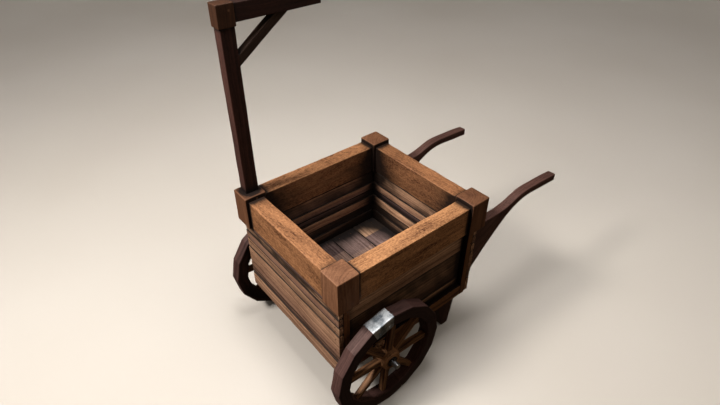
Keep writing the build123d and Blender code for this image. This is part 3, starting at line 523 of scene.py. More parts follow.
# %% Worn wood
def worn_wood(name, tones, dark, ring=0.011, streak=0.55, fleck=1.0, blotch=0.55, patch=0.0,
              shade=0.95, darkening_start=0.16, full=0.45):
    """Old planed wood.

    tones are the ramp stops of its boards' colours, dark what the darkest grain multiplies them
    by, and ring the ring spacing in metres. streak, fleck and blotch are the strengths of the
    rings, the mottle and the stains, and patch that of the changes from block to block along a
    board. The painted shade and the joints' dirt start at darkening_start and are whole at full,
    as dark there as shade says.
    """
    made, tree, shader = new_material(name)
    grain = add(tree, "Attribute", attribute_name="grain").outputs["Vector"]
    tone, wear, shade_and_dirt = (add(tree, "Attribute", attribute_name=key).outputs["Fac"]
                         for key in ("tone", "wear", "shade_and_dirt"))

    noise = {}
    for key, (scale, settings) in WOOD_PATTERNS.items():
        place = add(tree, "VectorMath", {0: grain, 1: scale}, operation="MULTIPLY")
        noise[key] = add(tree, "TexNoise", {
            "Vector": place.outputs[0], "Scale": 1.0, **settings}).outputs["Fac"]

    # the heart line drifts, so rings run out along a face as long pointed streaks
    flat = add(tree, "VectorMath", {0: grain, 1: (0.0, 1.0, 1.0)}, operation="MULTIPLY")
    radius = add(tree, "VectorMath", {0: flat.outputs[0]}, operation="LENGTH")
    drifted = add(tree, "Math", {0: noise["drift"], 1: DRIFT_REACH, 2: radius.outputs["Value"]},
                  operation="MULTIPLY_ADD")
    count = add(tree, "Math", {0: drifted.outputs[0], 1: ring}, operation="DIVIDE")
    rings = add(tree, "TexNoise", {"W": count.outputs[0], "Scale": 1.0, "Detail": 3.0,
                                   "Roughness": 0.6}, noise_dimensions="1D").outputs["Fac"]

    # the patterns added up, each about its middle, around a half
    figure = 0.5
    for pattern, share in ((rings, streak), (noise["fibre"], FIBRE_SHARE),
                           (noise["mottle"], MOTTLE_SHARE * fleck), (noise["stain"], blotch)):
        centred = add(tree, "Math", {0: pattern, 1: 0.5}, operation="SUBTRACT")
        figure = add(tree, "Math", {0: centred.outputs[0], 1: share, 2: figure},
                     operation="MULTIPLY_ADD").outputs[0]
    figure = add(tree, "MapRange", {"Value": figure, "From Min": FIGURE_RANGE[0],
                                    "From Max": FIGURE_RANGE[1]}).outputs[0]

    if patch:
        cross = add(tree, "VectorMath", {0: grain, 1: (PATCH_LENGTH, 1.0, 1.0)}, operation="SNAP")
        block = add(tree, "TexWhiteNoise", {"Vector": cross.outputs[0]}, noise_dimensions="3D")
        shift = add(tree, "Math", {0: block.outputs["Value"], 1: 0.5}, operation="SUBTRACT")
        tone = add(tree, "Math", {0: shift.outputs[0], 1: patch, 2: tone},
                   operation="MULTIPLY_ADD").outputs[0]
    own = add(tree, "ValToRGB", {"Fac": tone})
    set_ramp(own.color_ramp, tones)
    depth = add(tree, "Mix", {"Factor": figure, "A": linear(dark), "B": linear(WHITE)},
                data_type="RGBA")
    colour = add(tree, "Mix", {"Factor": 1.0, "A": own.outputs["Color"],
                               "B": depth.outputs["Result"]}, data_type="RGBA",
                 blend_type="MULTIPLY", clamp_result=False)

    # rubbed edges, broken up by the mottle
    rubbed = add(tree, "Math", {0: wear, 1: noise["mottle"]}, operation="MULTIPLY")
    colour = add(tree, "Mix", {"Factor": rubbed.outputs[0], "A": colour.outputs["Result"],
                               "B": own.outputs["Color"]}, data_type="RGBA")
    # painted shade and dirt in the joints, a little uneven, that start late so that open faces stay
    # clean and unshaded
    dirt_and_shade = add(tree, "Math", {0: noise["stain"], 1: 0.25, 2: shade_and_dirt}, operation="MULTIPLY_ADD")
    dirt_and_shade = add(tree, "MapRange", {"Value": dirt_and_shade.outputs[0], "From Min": darkening_start, "From Max": full,
                                   "To Max": shade}, interpolation_type="SMOOTHSTEP")
    colour = add(tree, "Mix", {"Factor": dirt_and_shade.outputs[0], "A": colour.outputs["Result"],
                               "B": linear(SOOT_AND_SHADE)}, data_type="RGBA")
    dull = add(tree, "MapRange", {"Value": figure, "To Min": WOOD_ROUGH + 0.12,
                                  "To Max": WOOD_ROUGH - 0.08})
    relief = add(tree, "Math", {0: noise["fibre"], 1: 0.6, 2: rings}, operation="MULTIPLY_ADD")
    bump = add(tree, "Bump", {"Height": relief.outputs[0], "Strength": 0.5,
                              "Distance": BUMP_HEIGHT})
    feed(tree, shader, {"Base Color": colour.outputs["Result"], "Roughness": dull.outputs[0],
                        "Normal": bump.outputs[0], "Specular IOR Level": WOOD_SPECULAR})
    return made


# %% The ten wood finishes
BOARD_TONES = [(0.0, "#33231f"), (0.3, "#806866"), (0.55, "#b0876f"), (1.0, "#efbf99")]
rail_wood = worn_wood("oiled_oak_rails", [(0.0, "#a36f4b"), (1.0, "#dba06f")], "#5f4a3c",
                      fleck=2.4, blotch=0.9, streak=0.3, darkening_start=0.15, full=0.37)
cap_wood = worn_wood("oiled_oak_caps", [(0.0, "#432817"), (0.3, "#7e553b"), (1.0, "#c08c69")],
                     "#7d6658", ring=0.013, fleck=0.7, full=0.38)
board_wood = worn_wood("weathered_pine_boards", BOARD_TONES, "#705d55", ring=0.016, streak=1.0)
lining_wood = worn_wood("weathered_pine_lining", BOARD_TONES, "#5c4a40", ring=0.014, streak=0.9,
                        shade=0.97, darkening_start=0.36, full=0.57)
floor_wood = worn_wood("scuffed_pine_floor", [(0.0, "#75605f"), (0.35, "#a98f88"), (0.7,
                                                                                    "#e8bc98"),
                                              (1.0, "#ffdcb0")], "#5a4a46", patch=0.8, shade=0.97,
                       darkening_start=0.38, full=0.55)
frame_wood = worn_wood("rough_sawn_oak_frame", [(0.0, "#5f3c24"), (1.0, "#a06c42")], "#5a4638")
dark_wood = worn_wood("stained_oak_post", [(0.0, "#28130e"), (0.5, "#4c2d26"), (1.0, "#856259")],
                      "#6a5854", fleck=1.1)
brace_wood = worn_wood("stained_oak_brace", [(0.0, "#2e1f18"), (1.0, "#7a5e50")], "#6a5848",
                       fleck=0.6, darkening_start=0.3, full=0.8)
rim_wood = worn_wood("stained_ash_rims", [(0.0, "#2e1c19"), (0.4, "#4c3330"), (1.0, "#8a665f")],
                     "#6a5856", fleck=0.7)
spoke_wood = worn_wood("oiled_ash_spokes", [(0.0, "#5f4029"), (1.0, "#bd8a60")], "#4e3d31",
                       ring=0.009, streak=1.0, fleck=0.9)
print("ten wood finishes")

# %% [markdown]
# ## Steel finishes
# The strap on the rim is zinc-coated sheet: pale, with large soft patches, partly where the zinc
# set and partly painted reflection. The axle and the bushes are plain turned steel. Washers,
# pins, plates and screws are blackened iron, and the nails have rusted.


# %% Steel
SCRATCH_SCALE = 260.0  # marks about 4 mm long, coarser than real scratches so that they show


def old_steel(name, dark, light, rough, patch):
    """Worn steel, with cloudy patches of the given size in metres and finer scratches."""
    made, tree, shader = new_material(name)
    where = add(tree, "TexCoord").outputs["Object"]
    cloud = add(tree, "TexNoise", {"Vector": where, "Scale": 1 / patch, "Detail": 4.0,
                                   "Roughness": 0.65})
    colour = add(tree, "ValToRGB", {"Fac": cloud.outputs["Fac"]})
    set_ramp(colour.color_ramp, [(0.4, dark), (0.6, light)])
    scratch = add(tree, "TexNoise", {"Vector": where, "Scale": SCRATCH_SCALE, "Detail": 3.0})
    gloss = add(tree, "MapRange", {"Value": cloud.outputs["Fac"], "To Min": rough + 0.15,
                                   "To Max": rough - 0.1})
    bump = add(tree, "Bump", {"Height": scratch.outputs["Fac"], "Strength": 0.3,
                              "Distance": 0.0004})
    feed(tree, shader, {"Base Color": colour.outputs["Color"], "Roughness": gloss.outputs[0],
                        "Normal": bump.outputs[0], "Metallic": 1.0})
    return made


# strong pale and dark patches on the zinc: partly where it set, partly painted reflection
zinc_steel = old_steel("zinc_coated_sheet", "#78828c", "#d9dfe4", 0.5, 0.05)
turned_steel = old_steel("turned_steel", "#a9afb6", "#e2e7ec", 0.35, 0.02)
black_iron = old_steel("blackened_iron", "#2e2b29", "#57504a", 0.55, 0.015)
rusty_iron = old_steel("rusty_nail_iron", "#4a3529", "#8a6a52", 0.7, 0.004)
print("four steel finishes")

# %% [markdown]
# ## Caps and rails
# Four square blocks stand over the corner posts with their end grain up, and a heavy rail runs
# between each pair. The frame's rails reach into the caps with tenons, so a rail's visible length
# is read from the caps.

# %% Caps
ENDS, SIDES = ("front", "back"), ("left", "right")
CAP_TONES = {"cap_front_left": 0.35, "cap_front_right": 0.6,
             "cap_back_left": 0.42, "cap_back_right": 0.36}
for name, tone in CAP_TONES.items():
    shell = beam(*corners(name), 2, edge=0.005, tone=tone, step=0.015)
    worn_timber(name, [shell], cap_wood)

# %% Rails
LEFT_CAP, RIGHT_CAP = corners("cap_front_left"), corners("cap_front_right")
BACK_CAP = corners("cap_back_left")
BAY_X = (LEFT_CAP[1][0], RIGHT_CAP[0][0])
BAY_Y = (LEFT_CAP[1][1], BACK_CAP[0][1])
RAIL_TONES = {"rail_front": 0.4, "rail_back": 0.2, "rail_left": 0.45, "rail_right": 0.95}
for name, tone in RAIL_TONES.items():
    low, high = corners(name)
    axis = 0 if name in ("rail_front", "rail_back") else 1
    low[axis], high[axis] = (BAY_X, BAY_Y)[axis]
    shell = beam(low, high, axis, edge=0.004, tone=tone, dip=0.001)
    worn_timber(name, [shell], rail_wood)

# %% [markdown]
# ## Boards
# The walls are two skins: outer boards over the frame and a lining inside. Boards are ripped to
# uneven widths and laid edge to edge, each from its own tree, so each has its own tone. The
# widths here are the frame's, in proportion, with the same small gap between neighbours.

# %% Courses
BOARD_GAP = 0.0012
SET_BACK = (0.0006, 0.0024, 0.0, 0.0018, 0.0004, 0.0028, 0.001)  # metres, board by board
RAIL_UNDERSIDE = corners("cap_front_left")[0][2]


def courses(low, high, widths, across, face, outward):
    """Boxes of boards laid edge to edge along the axis across, between low and high.

    Boards were never planed to one thickness, so each board's outward side along the axis face
    is set back by its own fraction of a few millimetres.
    """
    edges = low[across] + np.r_[0, np.cumsum(widths)] / sum(widths) * (high[across] - low[across])
    for start, stop, back in zip(edges[:-1], edges[1:], SET_BACK):
        board_low, board_high = low.copy(), high.copy()
        board_low[across], board_high[across] = start + BOARD_GAP / 2, stop - BOARD_GAP / 2
        if outward > 0:
            board_high[face] -= back
        else:
            board_low[face] += back
        yield board_low, board_high


# widths in millimetres, bottom to top, and the tone of each board
END_COURSES = {88: 0.75, 40: 0.45, 144: 0.68, 56: 0.82, 48: 0.55, 36: 1.0, 22: 0.4}
SIDE_COURSES = {44: 0.9, 184: 0.75, 120: 0.85, 26: 0.65}
LINING_WIDTHS = (92, 48, 56, 40, 48, 96)
LINING_TONES = (0.4, 0.45, 0.6, 0.08, 0.4, 0.5)
FLOOR_WIDTHS = (63, 156, 156, 156, 154)
FLOOR_TONES = (0.6, 0.5, 0.45, 0.4, 0.35)
WALL_JOINT, INNER_JOINT = 0.27, 0.42  # dirt between the outer boards, and inside the box
BOARD_LIGHT_FALL = 0.2  # painted light and shade: how much paler a board is painted at its upper edge, as if lit from above, and darker at its lower

# %% Outer boards
WALLS = {"front": (0, 1, -1), "back": (0, 1, 1), "left": (1, 0, -1), "right": (1, 0, 1)}
OUTER_BOARDS = {}
for wall, (along, face, outward) in WALLS.items():
    widths = END_COURSES if along == 0 else SIDE_COURSES
    OUTER_BOARDS[wall] = list(courses(
        *corners(f"boards_{wall}"), list(widths), 2, face, outward))
    boards = [beam(*board, along, edge=0.004, tone=tone, light_fall=BOARD_LIGHT_FALL, joint=WALL_JOINT)
              for board, tone in zip(OUTER_BOARDS[wall], widths.values())]
    worn_timber(f"boards_{wall}", boards, board_wood)

# %% Lining
BACK_PALER, OTHERS_PALER = 0.3, 0.05  # painted light: the back wall's lining, which faces the key lamp, is painted palest
DARK_BOARD = 0.3  # boards with a tone under this are not painted paler
for wall, (along, face, outward) in WALLS.items():
    low, high = corners(f"lining_{wall}")
    share = (RAIL_UNDERSIDE - low[2]) / (high[2] - low[2])
    widths = np.array(LINING_WIDTHS, float)
    widths[-1] -= widths.sum() * (1 - share)
    high[2] = RAIL_UNDERSIDE
    paler = BACK_PALER if wall == "back" else OTHERS_PALER
    boards = [beam(*board, along, edge=0.0035, light_fall=BOARD_LIGHT_FALL, joint=INNER_JOINT,
                   tone=tone + (paler if tone > DARK_BOARD else 0) + rng.uniform(-0.05, 0.05))
              for board, tone in zip(courses(low, high, widths, 2, face, -outward), LINING_TONES)]
    worn_timber(f"lining_{wall}", boards, lining_wood)

# %% Floor boards
FLOOR_BOARDS = list(courses(*corners("floor_boards"), FLOOR_WIDTHS, 1, 2, 1))
boards = [beam(*board, 0, edge=0.0035, tone=tone, joint=INNER_JOINT)
          for board, tone in zip(FLOOR_BOARDS, FLOOR_TONES)]
worn_timber("floor_boards", boards, floor_wood)

# %% [markdown]
# ## The frame under the boards
# Corner posts, sills and joists carry the box. They are rough sawn, and show at the sides between
# the boards and from below. The side sills are seen between the posts, and the cross sills close
# the ends under the floor.

# %% Posts, sills and joists
for end in ENDS:
    for side in SIDES:
        low, high = corners(f"corner_post_{end}_{side}")
        high[2] = RAIL_UNDERSIDE
        shell = beam(low, high, 2, edge=0.003, tone=0.6)
        piece(f"worn_post_{end}_{side}", [shell], frame_wood,
              nodes=[f"corner_post_{end}_{side}"])
POST_INNER = corners("corner_post_back_right")[0][0]
for side in SIDES:
    low, high = corners(f"sill_{side}")
    low[1], high[1] = [corner[1] for corner in corners(f"boards_{side}")]
    shell = beam(low, high, 1, edge=0.004, tone=0.7)
    worn_timber(f"sill_{side}", [shell], frame_wood)
for end in ENDS:
    low, high = corners(f"sill_{end}")
    low[0], high[0] = POST_INNER * np.array([-1, 1])
    shell = beam(low, high, 0, edge=0.004, tone=0.4)
    worn_timber(f"sill_{end}", [shell], frame_wood)
JOISTS, JOIST_WIDTH = 3, 0.05
low, high = corners("joists")
OVER_JOISTS = np.linspace(low[0] + JOIST_WIDTH / 2, high[0] - JOIST_WIDTH / 2, JOISTS)
joists = []
for middle in OVER_JOISTS:
    joist_low, joist_high = low.copy(), high.copy()
    joist_low[0], joist_high[0] = middle - JOIST_WIDTH / 2, middle + JOIST_WIDTH / 2
    joists.append(beam(joist_low, joist_high, 1, tone=0.3))
worn_timber("joists", joists, frame_wood)

# %% [markdown]
# ## Post, head, arm and brace
# A tall stained post stands on the front left cap, with a paler block as its head. The arm runs
# back from the head, and a brace steadies it from the post. The brace's ends are cut to lie on
# the post and the arm, so its section leans over from upright to level along its length.


# %% Post and arm
def x_span(node):
    """The middle of a node along X and half its width there."""
    low, high = corners(node)
    return (low[0] + high[0]) / 2, (high[0] - low[0]) / 2


mast_low, mast_high = corners("mast")
head_low, head_high = corners("mast_head")
arm_low, arm_high = corners("arm")
mast_low[2], mast_high[2] = corners("cap_front_left")[1][2], head_low[2]
# the post's sides are painted darker, as painted shade
shell = beam(mast_low, mast_high, 2, edge=0.003, tone=0.6, side_tone=0.35)
worn_timber("mast", [shell], dark_wood)
shell = beam(head_low, head_high, 2, edge=0.0035, tone=0.04, step=0.014)
worn_timber("mast_head", [shell], cap_wood)
arm_low[1] = head_high[1]
shell = beam(arm_low, arm_high, 1, edge=0.003, tone=0.2)
worn_timber("arm", [shell], dark_wood)

# %% Brace
BRACE_DEPTH = 0.04
low, high = corners("brace")
drop, run = high[2] - low[2], high[1] - low[1]
slope = math.atan2(drop, run)
foot, top = BRACE_DEPTH / math.cos(slope), BRACE_DEPTH / math.sin(slope)
middle_x, half_x = x_span("brace")
path = [(middle_x, low[1], low[2] + foot / 2), (middle_x, high[1] - top / 2, high[2])]
lean = [(0, 0, foot / BRACE_DEPTH), (0, -top / BRACE_DEPTH, 0)]
# the brace's sides are painted darker, as painted shade
shell = carry(path, (1, 0, 0), lean, half_x, BRACE_DEPTH / 2, tone=0.5, side_tone=0.2)
worn_timber("brace", [shell], brace_wood)

# %% [markdown]
# ## Shafts and legs
# A shaft is sawn from a wide plank: deep where it meets the box, then swept up to a slim level
# grip. Its upper and lower outlines are smooth curves through a few points, given as distance
# behind the box and height over the sills' underside. A leg narrows towards its foot.


# %% Smooth outlines
def smooth_curve(points, count):
    """A curve through points, by cubic pieces that share slope and bend where they meet.

    With the distance along the chords as parameter, the bends m at the points solve a
    three-diagonal system, with no bend at the two ends.
    """
    points = np.asarray(points, float)
    t = np.r_[0, np.cumsum(np.linalg.norm(np.diff(points, axis=0), axis=1))]
    h = np.diff(t)
    n = len(t)
    system = np.eye(n)
    right = np.zeros((n, points.shape[1]))
    rows = np.arange(1, n - 1)
    system[rows, rows - 1], system[rows, rows], system[rows, rows + 1] = (
        h[:-1], 2 * (h[:-1] + h[1:]), h[1:])
    slopes = np.diff(points, axis=0) / h[:, None]
    right[1:-1] = 6 * np.diff(slopes, axis=0)
    m = np.linalg.solve(system, right)
    u = np.linspace(0, t[-1], count)
    k = np.clip(np.searchsorted(t, u, side="right") - 1, 0, n - 2)
    left, rest = (u - t[k])[:, None], (t[k + 1] - u)[:, None]
    hk = h[k][:, None]
    return (
        m[k] * rest ** 3 + m[k + 1] * left ** 3) / (6 * hk) + (
        points[k] / hk - m[k] * hk / 6) * rest + (points[k + 1] / hk - m[k + 1] * hk / 6) * left


# %% Shafts
SHAFT_OVER = np.array([(203, 400), (266, 408), (373, 440), (439, 445), (678, 435)]) / 1000
SHAFT_KNEE = (0.0, 0.403)
SHAFT_UNDER = np.array([(0, 78), (95, 181), (268, 340), (402, 401), (479, 404), (678, 392)]) / 1000
SHAFT_WIDTH = 0.048
BOX_BACK = corners("boards_back")[1][1]
SILL_UNDERSIDE = corners("sill_left")[0][2]

for side in SIDES:
    over = np.vstack([SHAFT_KNEE, smooth_curve(SHAFT_OVER, 40)])
    under = smooth_curve(SHAFT_UNDER, 60)
    y = np.linspace(0, over[-1][0], 40)
    z_over, z_under = np.interp(y, *over.T), np.interp(y, *under.T)
    path = np.stack([np.full_like(y, x_span(f"shaft_{side}")[0]), BOX_BACK + y,
                     SILL_UNDERSIDE + (z_over + z_under) / 2], 1)
    shell = carry(path, (1, 0, 0), (0, 0, 1), SHAFT_WIDTH / 2, (z_over - z_under) / 2,
                  edge=0.005, tone=0.8)
    worn_timber(f"shaft_{side}", [shell], dark_wood)

# %% Legs
LEG_REAR = np.array([(-53, 0), (-25, 180.88), (-11, 266)]) / 1000
LEG_FORE = np.array([(-101, 0), (-145, 175.56), (-167, 266)]) / 1000
LEG_CHEEK, CHEEK_LENGTH = 0.025, 0.08  # across and along the cart
for side, s in zip(SIDES, (-1, 1)):
    low, high = corners(f"leg_{side}")
    rear, fore = smooth_curve(LEG_REAR, 20), smooth_curve(LEG_FORE, 20)
    z = np.linspace(0, SILL_UNDERSIDE, 16)
    y_rear, y_fore = np.interp(z, *rear.T[::-1]), np.interp(z, *fore.T[::-1])
    middle_x, half_x = x_span(f"leg_{side}")
    path = np.stack([np.full_like(z, middle_x), BOX_BACK + (y_rear + y_fore) / 2, z], 1)
    leg = carry(path, (1, 0, 0), (0, 1, 0), half_x, (y_rear - y_fore) / 2, edge=0.005, tone=0.5)
    cheek_low, cheek_high = low.copy(), high.copy()
    outer = (low[0], high[0])[s > 0]
    cheek_low[0], cheek_high[0] = sorted((outer, outer - s * LEG_CHEEK))
    cheek_high[1] = corners("joists")[1][1]
    cheek_low[1], cheek_low[2] = cheek_high[1] - CHEEK_LENGTH, SILL_UNDERSIDE
    cheek = beam(cheek_low, cheek_high, 2, tone=0.4)
    worn_timber(f"leg_{side}", [leg, cheek], dark_wood)

# %% [markdown]
# ## Wheels
# The rims are sawn, not bent: four felloes, each with straight facets, meet at joints between the
# spokes. A felloe is carried round the axle by angle, and its outer and inner faces are polygons,
# so the section's depth grows towards a facet's corners. The hubs are turned, and eight spokes
# taper out to the rim.

# %% Places on a wheel
RIM_DEPTH = 0.063
FACETS, FELLOES, SPOKES = 16, 4, 8
FIRST_SPOKE = 84.5  # degrees from +Y towards +Z
FIRST_JOINT = FIRST_SPOKE + 180 / SPOKES
FACET = 360 / FACETS
HALF_FACET = math.radians(FACET / 2)
AXLE = corners("axle")
AXLE_Y, AXLE_Z = ((AXLE[0] + AXLE[1]) / 2)[1:]
RIM_LOW, RIM_HIGH = corners("felloes_right")
WHEEL_RADIUS = (RIM_HIGH[2] - RIM_LOW[2]) / 2
JOINT_GAP = 0.0004


def facet_radius(corner_radius, angle):
    """Distance from the axle to a polygon with the rim's facets, at angles in degrees."""
    off_middle = np.radians(angle % FACET - FACET / 2)
    return corner_radius * math.cos(HALF_FACET) / np.cos(off_middle)


def radial(angle):
    """Unit vectors out from the axle at angles in degrees."""
    turn = np.radians(angle)
    return np.stack([np.zeros_like(turn), np.cos(turn), np.sin(turn)], -1)


AXLE_POINT = np.array([0, AXLE_Y, AXLE_Z])
print("wheel radius", round(WHEEL_RADIUS, 4), "axle at", AXLE_POINT.round(4))


# %% Felloes
def felloe(middle_x, half_width, start, stop, tone):
    """One felloe from start to stop degrees, carried round the axle through every corner."""
    corner = np.arange(math.floor(start / FACET) + 1, math.ceil(stop / FACET)) * FACET
    angle = np.r_[start, corner, stop]
    outer, inner = facet_radius(WHEEL_RADIUS, angle), facet_radius(WHEEL_RADIUS - RIM_DEPTH, angle)
    path = AXLE_POINT + radial(angle) * ((outer + inner) / 2)[:, None] + (middle_x, 0, 0)
    # the rim's flat sides are painted darker, as painted shade
    return carry(path, (1, 0, 0), radial(angle), half_width, (outer - inner) / 2, edge=0.003,
                 tone=tone, side_tone=0.27, dip=0.0007, step=0.014)


gap = math.degrees(JOINT_GAP / 2 / (WHEEL_RADIUS - RIM_DEPTH))
for side in SIDES:
    felloes = []
    for number in range(FELLOES):
        joint = FIRST_JOINT + number * 360 / FELLOES
        felloes.append(felloe(*x_span(f"felloes_{side}"), joint + gap,
                              joint + 360 / FELLOES - gap, rng.uniform(0.5, 0.72)))
    piece(f"worn_felloes_{side}", felloes, rim_wood, body=f"wheel_{side}",
          nodes=[f"felloes_{side}", f"felloe_dowels_{side}"], smooth=20)

# %% Spokes
SPOKE_FOOT, SPOKE_TIP = (0.032, 0.030), (0.028, 0.024)  # along the axle, round the wheel
SPOKE_FROM = 0.044  # distance from the axle at which a spoke starts, inside the hub
SPOKE_SINK = 0.002  # a spoke's tip goes this far into the rim
for side in SIDES:
    middle_x = x_span(f"felloes_{side}")[0]
    spokes = []
    for angle in FIRST_SPOKE + np.arange(SPOKES) * 360 / SPOKES:
        out = radial(np.array([angle, angle]))
        tip = facet_radius(WHEEL_RADIUS - RIM_DEPTH, angle) + SPOKE_SINK
        path = AXLE_POINT + out * np.array([[SPOKE_FROM], [tip]]) + (middle_x, 0, 0)
        tangent = np.cross((1, 0, 0), out[0])
        spokes.append(carry(path, (1, 0, 0), tangent,
                            [SPOKE_FOOT[0] / 2, SPOKE_TIP[0] / 2],
                            [SPOKE_FOOT[1] / 2, SPOKE_TIP[1] / 2], edge=0.002,
                            tone=rng.uniform(0.3, 0.8), step=0.012))
    piece(f"worn_spokes_{side}", spokes, spoke_wood, body=f"wheel_{side}",
          nodes=[f"spokes_{side}"])

# %% Hubs
HUB_END, HUB_MIDDLE = 0.047, 0.058  # radii
HUB_AROUND, HUB_ALONG = 64, 61
HUB_GROOVES = (-0.86, -0.62, 0.62, 0.86)  # shares of the half length
GROOVE_DEPTH, GROOVE_WIDTH = 0.0028, 0.035
# the dish in an end face and the bore's rim: share of the half length, radius
HUB_FACE = ((1.0, 0.040), (0.93, 0.037), (0.93, 0.028), (0.98, 0.0255))
BORE_PLAY = 0.0002


def hub(low_x, high_x, bore, tone):
    """A turned hub: a closed outline of (distance along the axle, radius), swept round it.

    The barrel rises by a circle's arc from the ends to the middle, with two turned grooves by
    each end, and a shallow dish is cut in both end faces round the bore.
    """
    half = (high_x - low_x) / 2
    t = np.linspace(-1, 1, HUB_ALONG)
    barrel = HUB_END + (HUB_MIDDLE - HUB_END) * (1 - t ** 2)
    for groove in HUB_GROOVES:
        barrel -= GROOVE_DEPTH * np.exp(-((t - groove) / GROOVE_WIDTH) ** 2)
    barrel -= 0.004 * np.clip((np.abs(t) - 0.96) / 0.04, 0, 1) ** 2
    face = np.array([*HUB_FACE, (HUB_FACE[-1][0], bore)])
    outline = np.concatenate([
        np.stack([t, barrel], 1), face, (face * (-1, 1))[::-1]])
    angle = np.linspace(0, 360, HUB_AROUND, endpoint=False)
    rings = radial(angle)[:, None] * outline[None, :, 1:] + AXLE_POINT
    rings[..., 0] += (low_x + high_x) / 2 + outline[:, 0] * half
    grid = np.arange(rings.shape[0] * rings.shape[1]).reshape(rings.shape[:2])
    after, beside = np.roll(grid, -1, 0), np.roll(grid, -1, 1)
    both = np.roll(after, -1, 1)
    quads = np.stack([grid, beside, both, after], -1).reshape(-1, 4)
    points = rings.reshape(-1, 3)
    wear = np.broadcast_to(np.interp(outline[:, 0], t, np.abs(t) > 0.93) * 0.6, grid.shape)
    made = plain_shell(points, quads, np.zeros((0, 3), int), wear.ravel(), tone)
    made["grain"] = points - AXLE_POINT
    return made


for side in SIDES:
    low, high = corners(f"hub_{side}")
    bush = corners(f"bush_{side}")
    bore = (bush[1][2] - bush[0][2]) / 2 + BORE_PLAY
    piece(f"turned_hub_{side}", [hub(low[0], high[0], bore, 0.95)], spoke_wood,
          body=f"wheel_{side}", nodes=[f"hub_{side}"], smooth=35)

# %% [markdown]
# ## Strap on the rim
# A piece of zinc-coated sheet is folded over one facet of the right wheel and riveted through. It
# is a flat strip carried over the rim's section with small round bends, and its length grows with
# the distance from the axle, because its ends are cut along radii.

# %% Rim strap
STRAP_T = 0.0025
STRAP_FACET = 4  # facets counted from +Y towards +Z
STRAP_SHORT = 0.004  # its sides stop this far outside the rim's inner corners
BEND_R = 0.004
rim_low, rim_high = corners("felloes_right")
H_TOP = WHEEL_RADIUS * math.cos(HALF_FACET) + STRAP_T / 2
H_LOW = (WHEEL_RADIUS - RIM_DEPTH + STRAP_SHORT) * math.cos(HALF_FACET)
X_LOW, X_HIGH = rim_low[0] - STRAP_T / 2, rim_high[0] + STRAP_T / 2
quarter = np.linspace(0, math.pi / 2, 5)
fold_low = np.stack([X_LOW + BEND_R * (1 - np.cos(quarter)),
                     H_TOP - BEND_R * (1 - np.sin(quarter))], 1)
fold_high = np.stack([X_HIGH - BEND_R * (1 - np.sin(quarter)),
                      H_TOP - BEND_R * (1 - np.cos(quarter))], 1)
outline = np.vstack([(X_LOW, H_LOW), fold_low, fold_high, (X_HIGH, H_LOW)])
middle_angle = (STRAP_FACET + 0.5) * FACET
up = radial(np.array(middle_angle))
side_way = np.cross((1, 0, 0), up)
path = AXLE_POINT + np.outer(outline[:, 1], up) + np.outer(outline[:, 0], (1, 0, 0))
way = np.gradient(outline, axis=0)
way[0], way[-1] = outline[1] - outline[0], outline[-1] - outline[-2]
way /= np.linalg.norm(way, axis=1)[:, None]
thick = np.outer(-way[:, 1], (1, 0, 0)) + np.outer(way[:, 0], up)
shell = carry(path, side_way, thick, outline[:, 1] * math.tan(HALF_FACET),
              STRAP_T / 2, edge=0.0008, dip=0.0004, step=0.006)
piece("folded_rim_strap", [shell], zinc_steel, body="wheel_right", nodes=["rim_strap"],
      smooth=50)

# %% [markdown]
# ## Nails
# The boards of the ends are nailed to the posts, and those of the floor to the joists, twice at
# each place, or once where a board is narrow. A nail head is a low dome, and there are many, so
# each has only a few faces.


# %% Nail heads
NAIL_R, NAIL_RISE = 0.0034, 0.001
NAIL_AROUND = 8
NAIL_LIFTS, NAIL_WIDTHS = (-0.4, 0.55, 0.9), (1.0, 0.92, 0.55)  # of its three rings, as shares
NARROW_BOARD = 0.034


def nail(point, outward):
    """A low dome of three rings and a tip, sunk a little into the board."""
    outward = np.asarray(outward, float)
    one = np.roll(outward, 1)
    two = np.cross(outward, one)
    lift, wide = np.array(NAIL_LIFTS) * NAIL_RISE, np.array(NAIL_WIDTHS) * NAIL_R
    turn = np.arange(NAIL_AROUND) * 2 * math.pi / NAIL_AROUND
    flat = np.outer(np.cos(turn), one) + np.outer(np.sin(turn), two)
    rings = point + wide[:, None, None] * flat + lift[:, None, None] * outward
    points = np.vstack([rings.reshape(-1, 3), point + outward * lift[0],
                        point + outward * NAIL_RISE])
    return plain_shell(points, *ring_faces(len(rings), NAIL_AROUND))


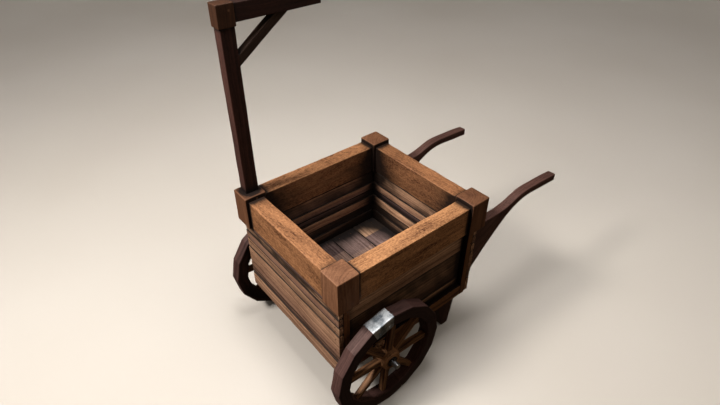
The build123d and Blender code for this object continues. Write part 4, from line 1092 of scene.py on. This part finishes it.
def nail_rows(boards, outward, places, along, across):
    """Two nails, or one in a narrow board, at each of the places along each board's face."""
    axis = int(np.argmax(np.abs(outward)))
    found = []
    for low, high in boards:
        width = high[across] - low[across]
        shares = (0.26, 0.74) if width > NARROW_BOARD else (0.5,)
        for place in places:
            for share in shares:
                point = np.zeros(3)
                point[axis] = (low, high)[outward[axis] > 0][axis]
                point[along] = place + rng.uniform(-0.004, 0.004)
                point[across] = low[across] + share * width + rng.uniform(-0.003, 0.003)
                found.append(nail(point, outward))
    return found


nails = []
post_low, post_high = corners("corner_post_back_right")
over_posts = np.array([-1, 1]) * (post_low[0] + post_high[0]) / 2
for wall, outward in (("front", (0, -1, 0)), ("back", (0, 1, 0))):
    nails += nail_rows(OUTER_BOARDS[wall], outward, over_posts, 0, 2)
nails += nail_rows(FLOOR_BOARDS, (0, 0, 1), OVER_JOISTS, 0, 1)
piece("board_nails", nails, rusty_iron)
print(len(nails), "nails")

# %% [markdown]
# ## Finishes for the fittings
# The turned and flat steel parts and the wooden pegs keep the frame's shapes. Their finishes read
# the cart's own coordinates.

# %% Pegs and fittings
# end grain of small oak pegs: pores drawn 3 mm apart, coarser than real ones so that they show
peg_oak, tree, shader = new_material("end_grain_oak_pegs")
where = add(tree, "TexCoord").outputs["Object"]
pores = add(tree, "TexNoise", {"Vector": where, "Scale": 300.0, "Detail": 3.0}).outputs["Fac"]
colour = add(tree, "ValToRGB", {"Fac": pores})
set_ramp(colour.color_ramp, [(0.35, "#3a2418"), (0.7, "#7a5236")])
bump = add(tree, "Bump", {"Height": pores, "Strength": 0.3, "Distance": 0.0005})
feed(tree, shader, {"Base Color": colour.outputs["Color"], "Roughness": 0.7,
                    "Normal": bump.outputs[0]})

FITTINGS = {
    peg_oak: ("mast_pegs", "shaft_pegs"),
    zinc_steel: ("strap_rivets",),
    turned_steel: ("axle", "bush_left", "bush_right"),
    black_iron: ("axle_plates", "plate_screws", "leg_screws", "washers", "linch_pins"),
}
for finish, names in FITTINGS.items():
    for name in names:
        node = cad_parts[name]
        node.data.materials.clear()
        node.data.materials.append(finish)
        print(name, "gets", finish.name)
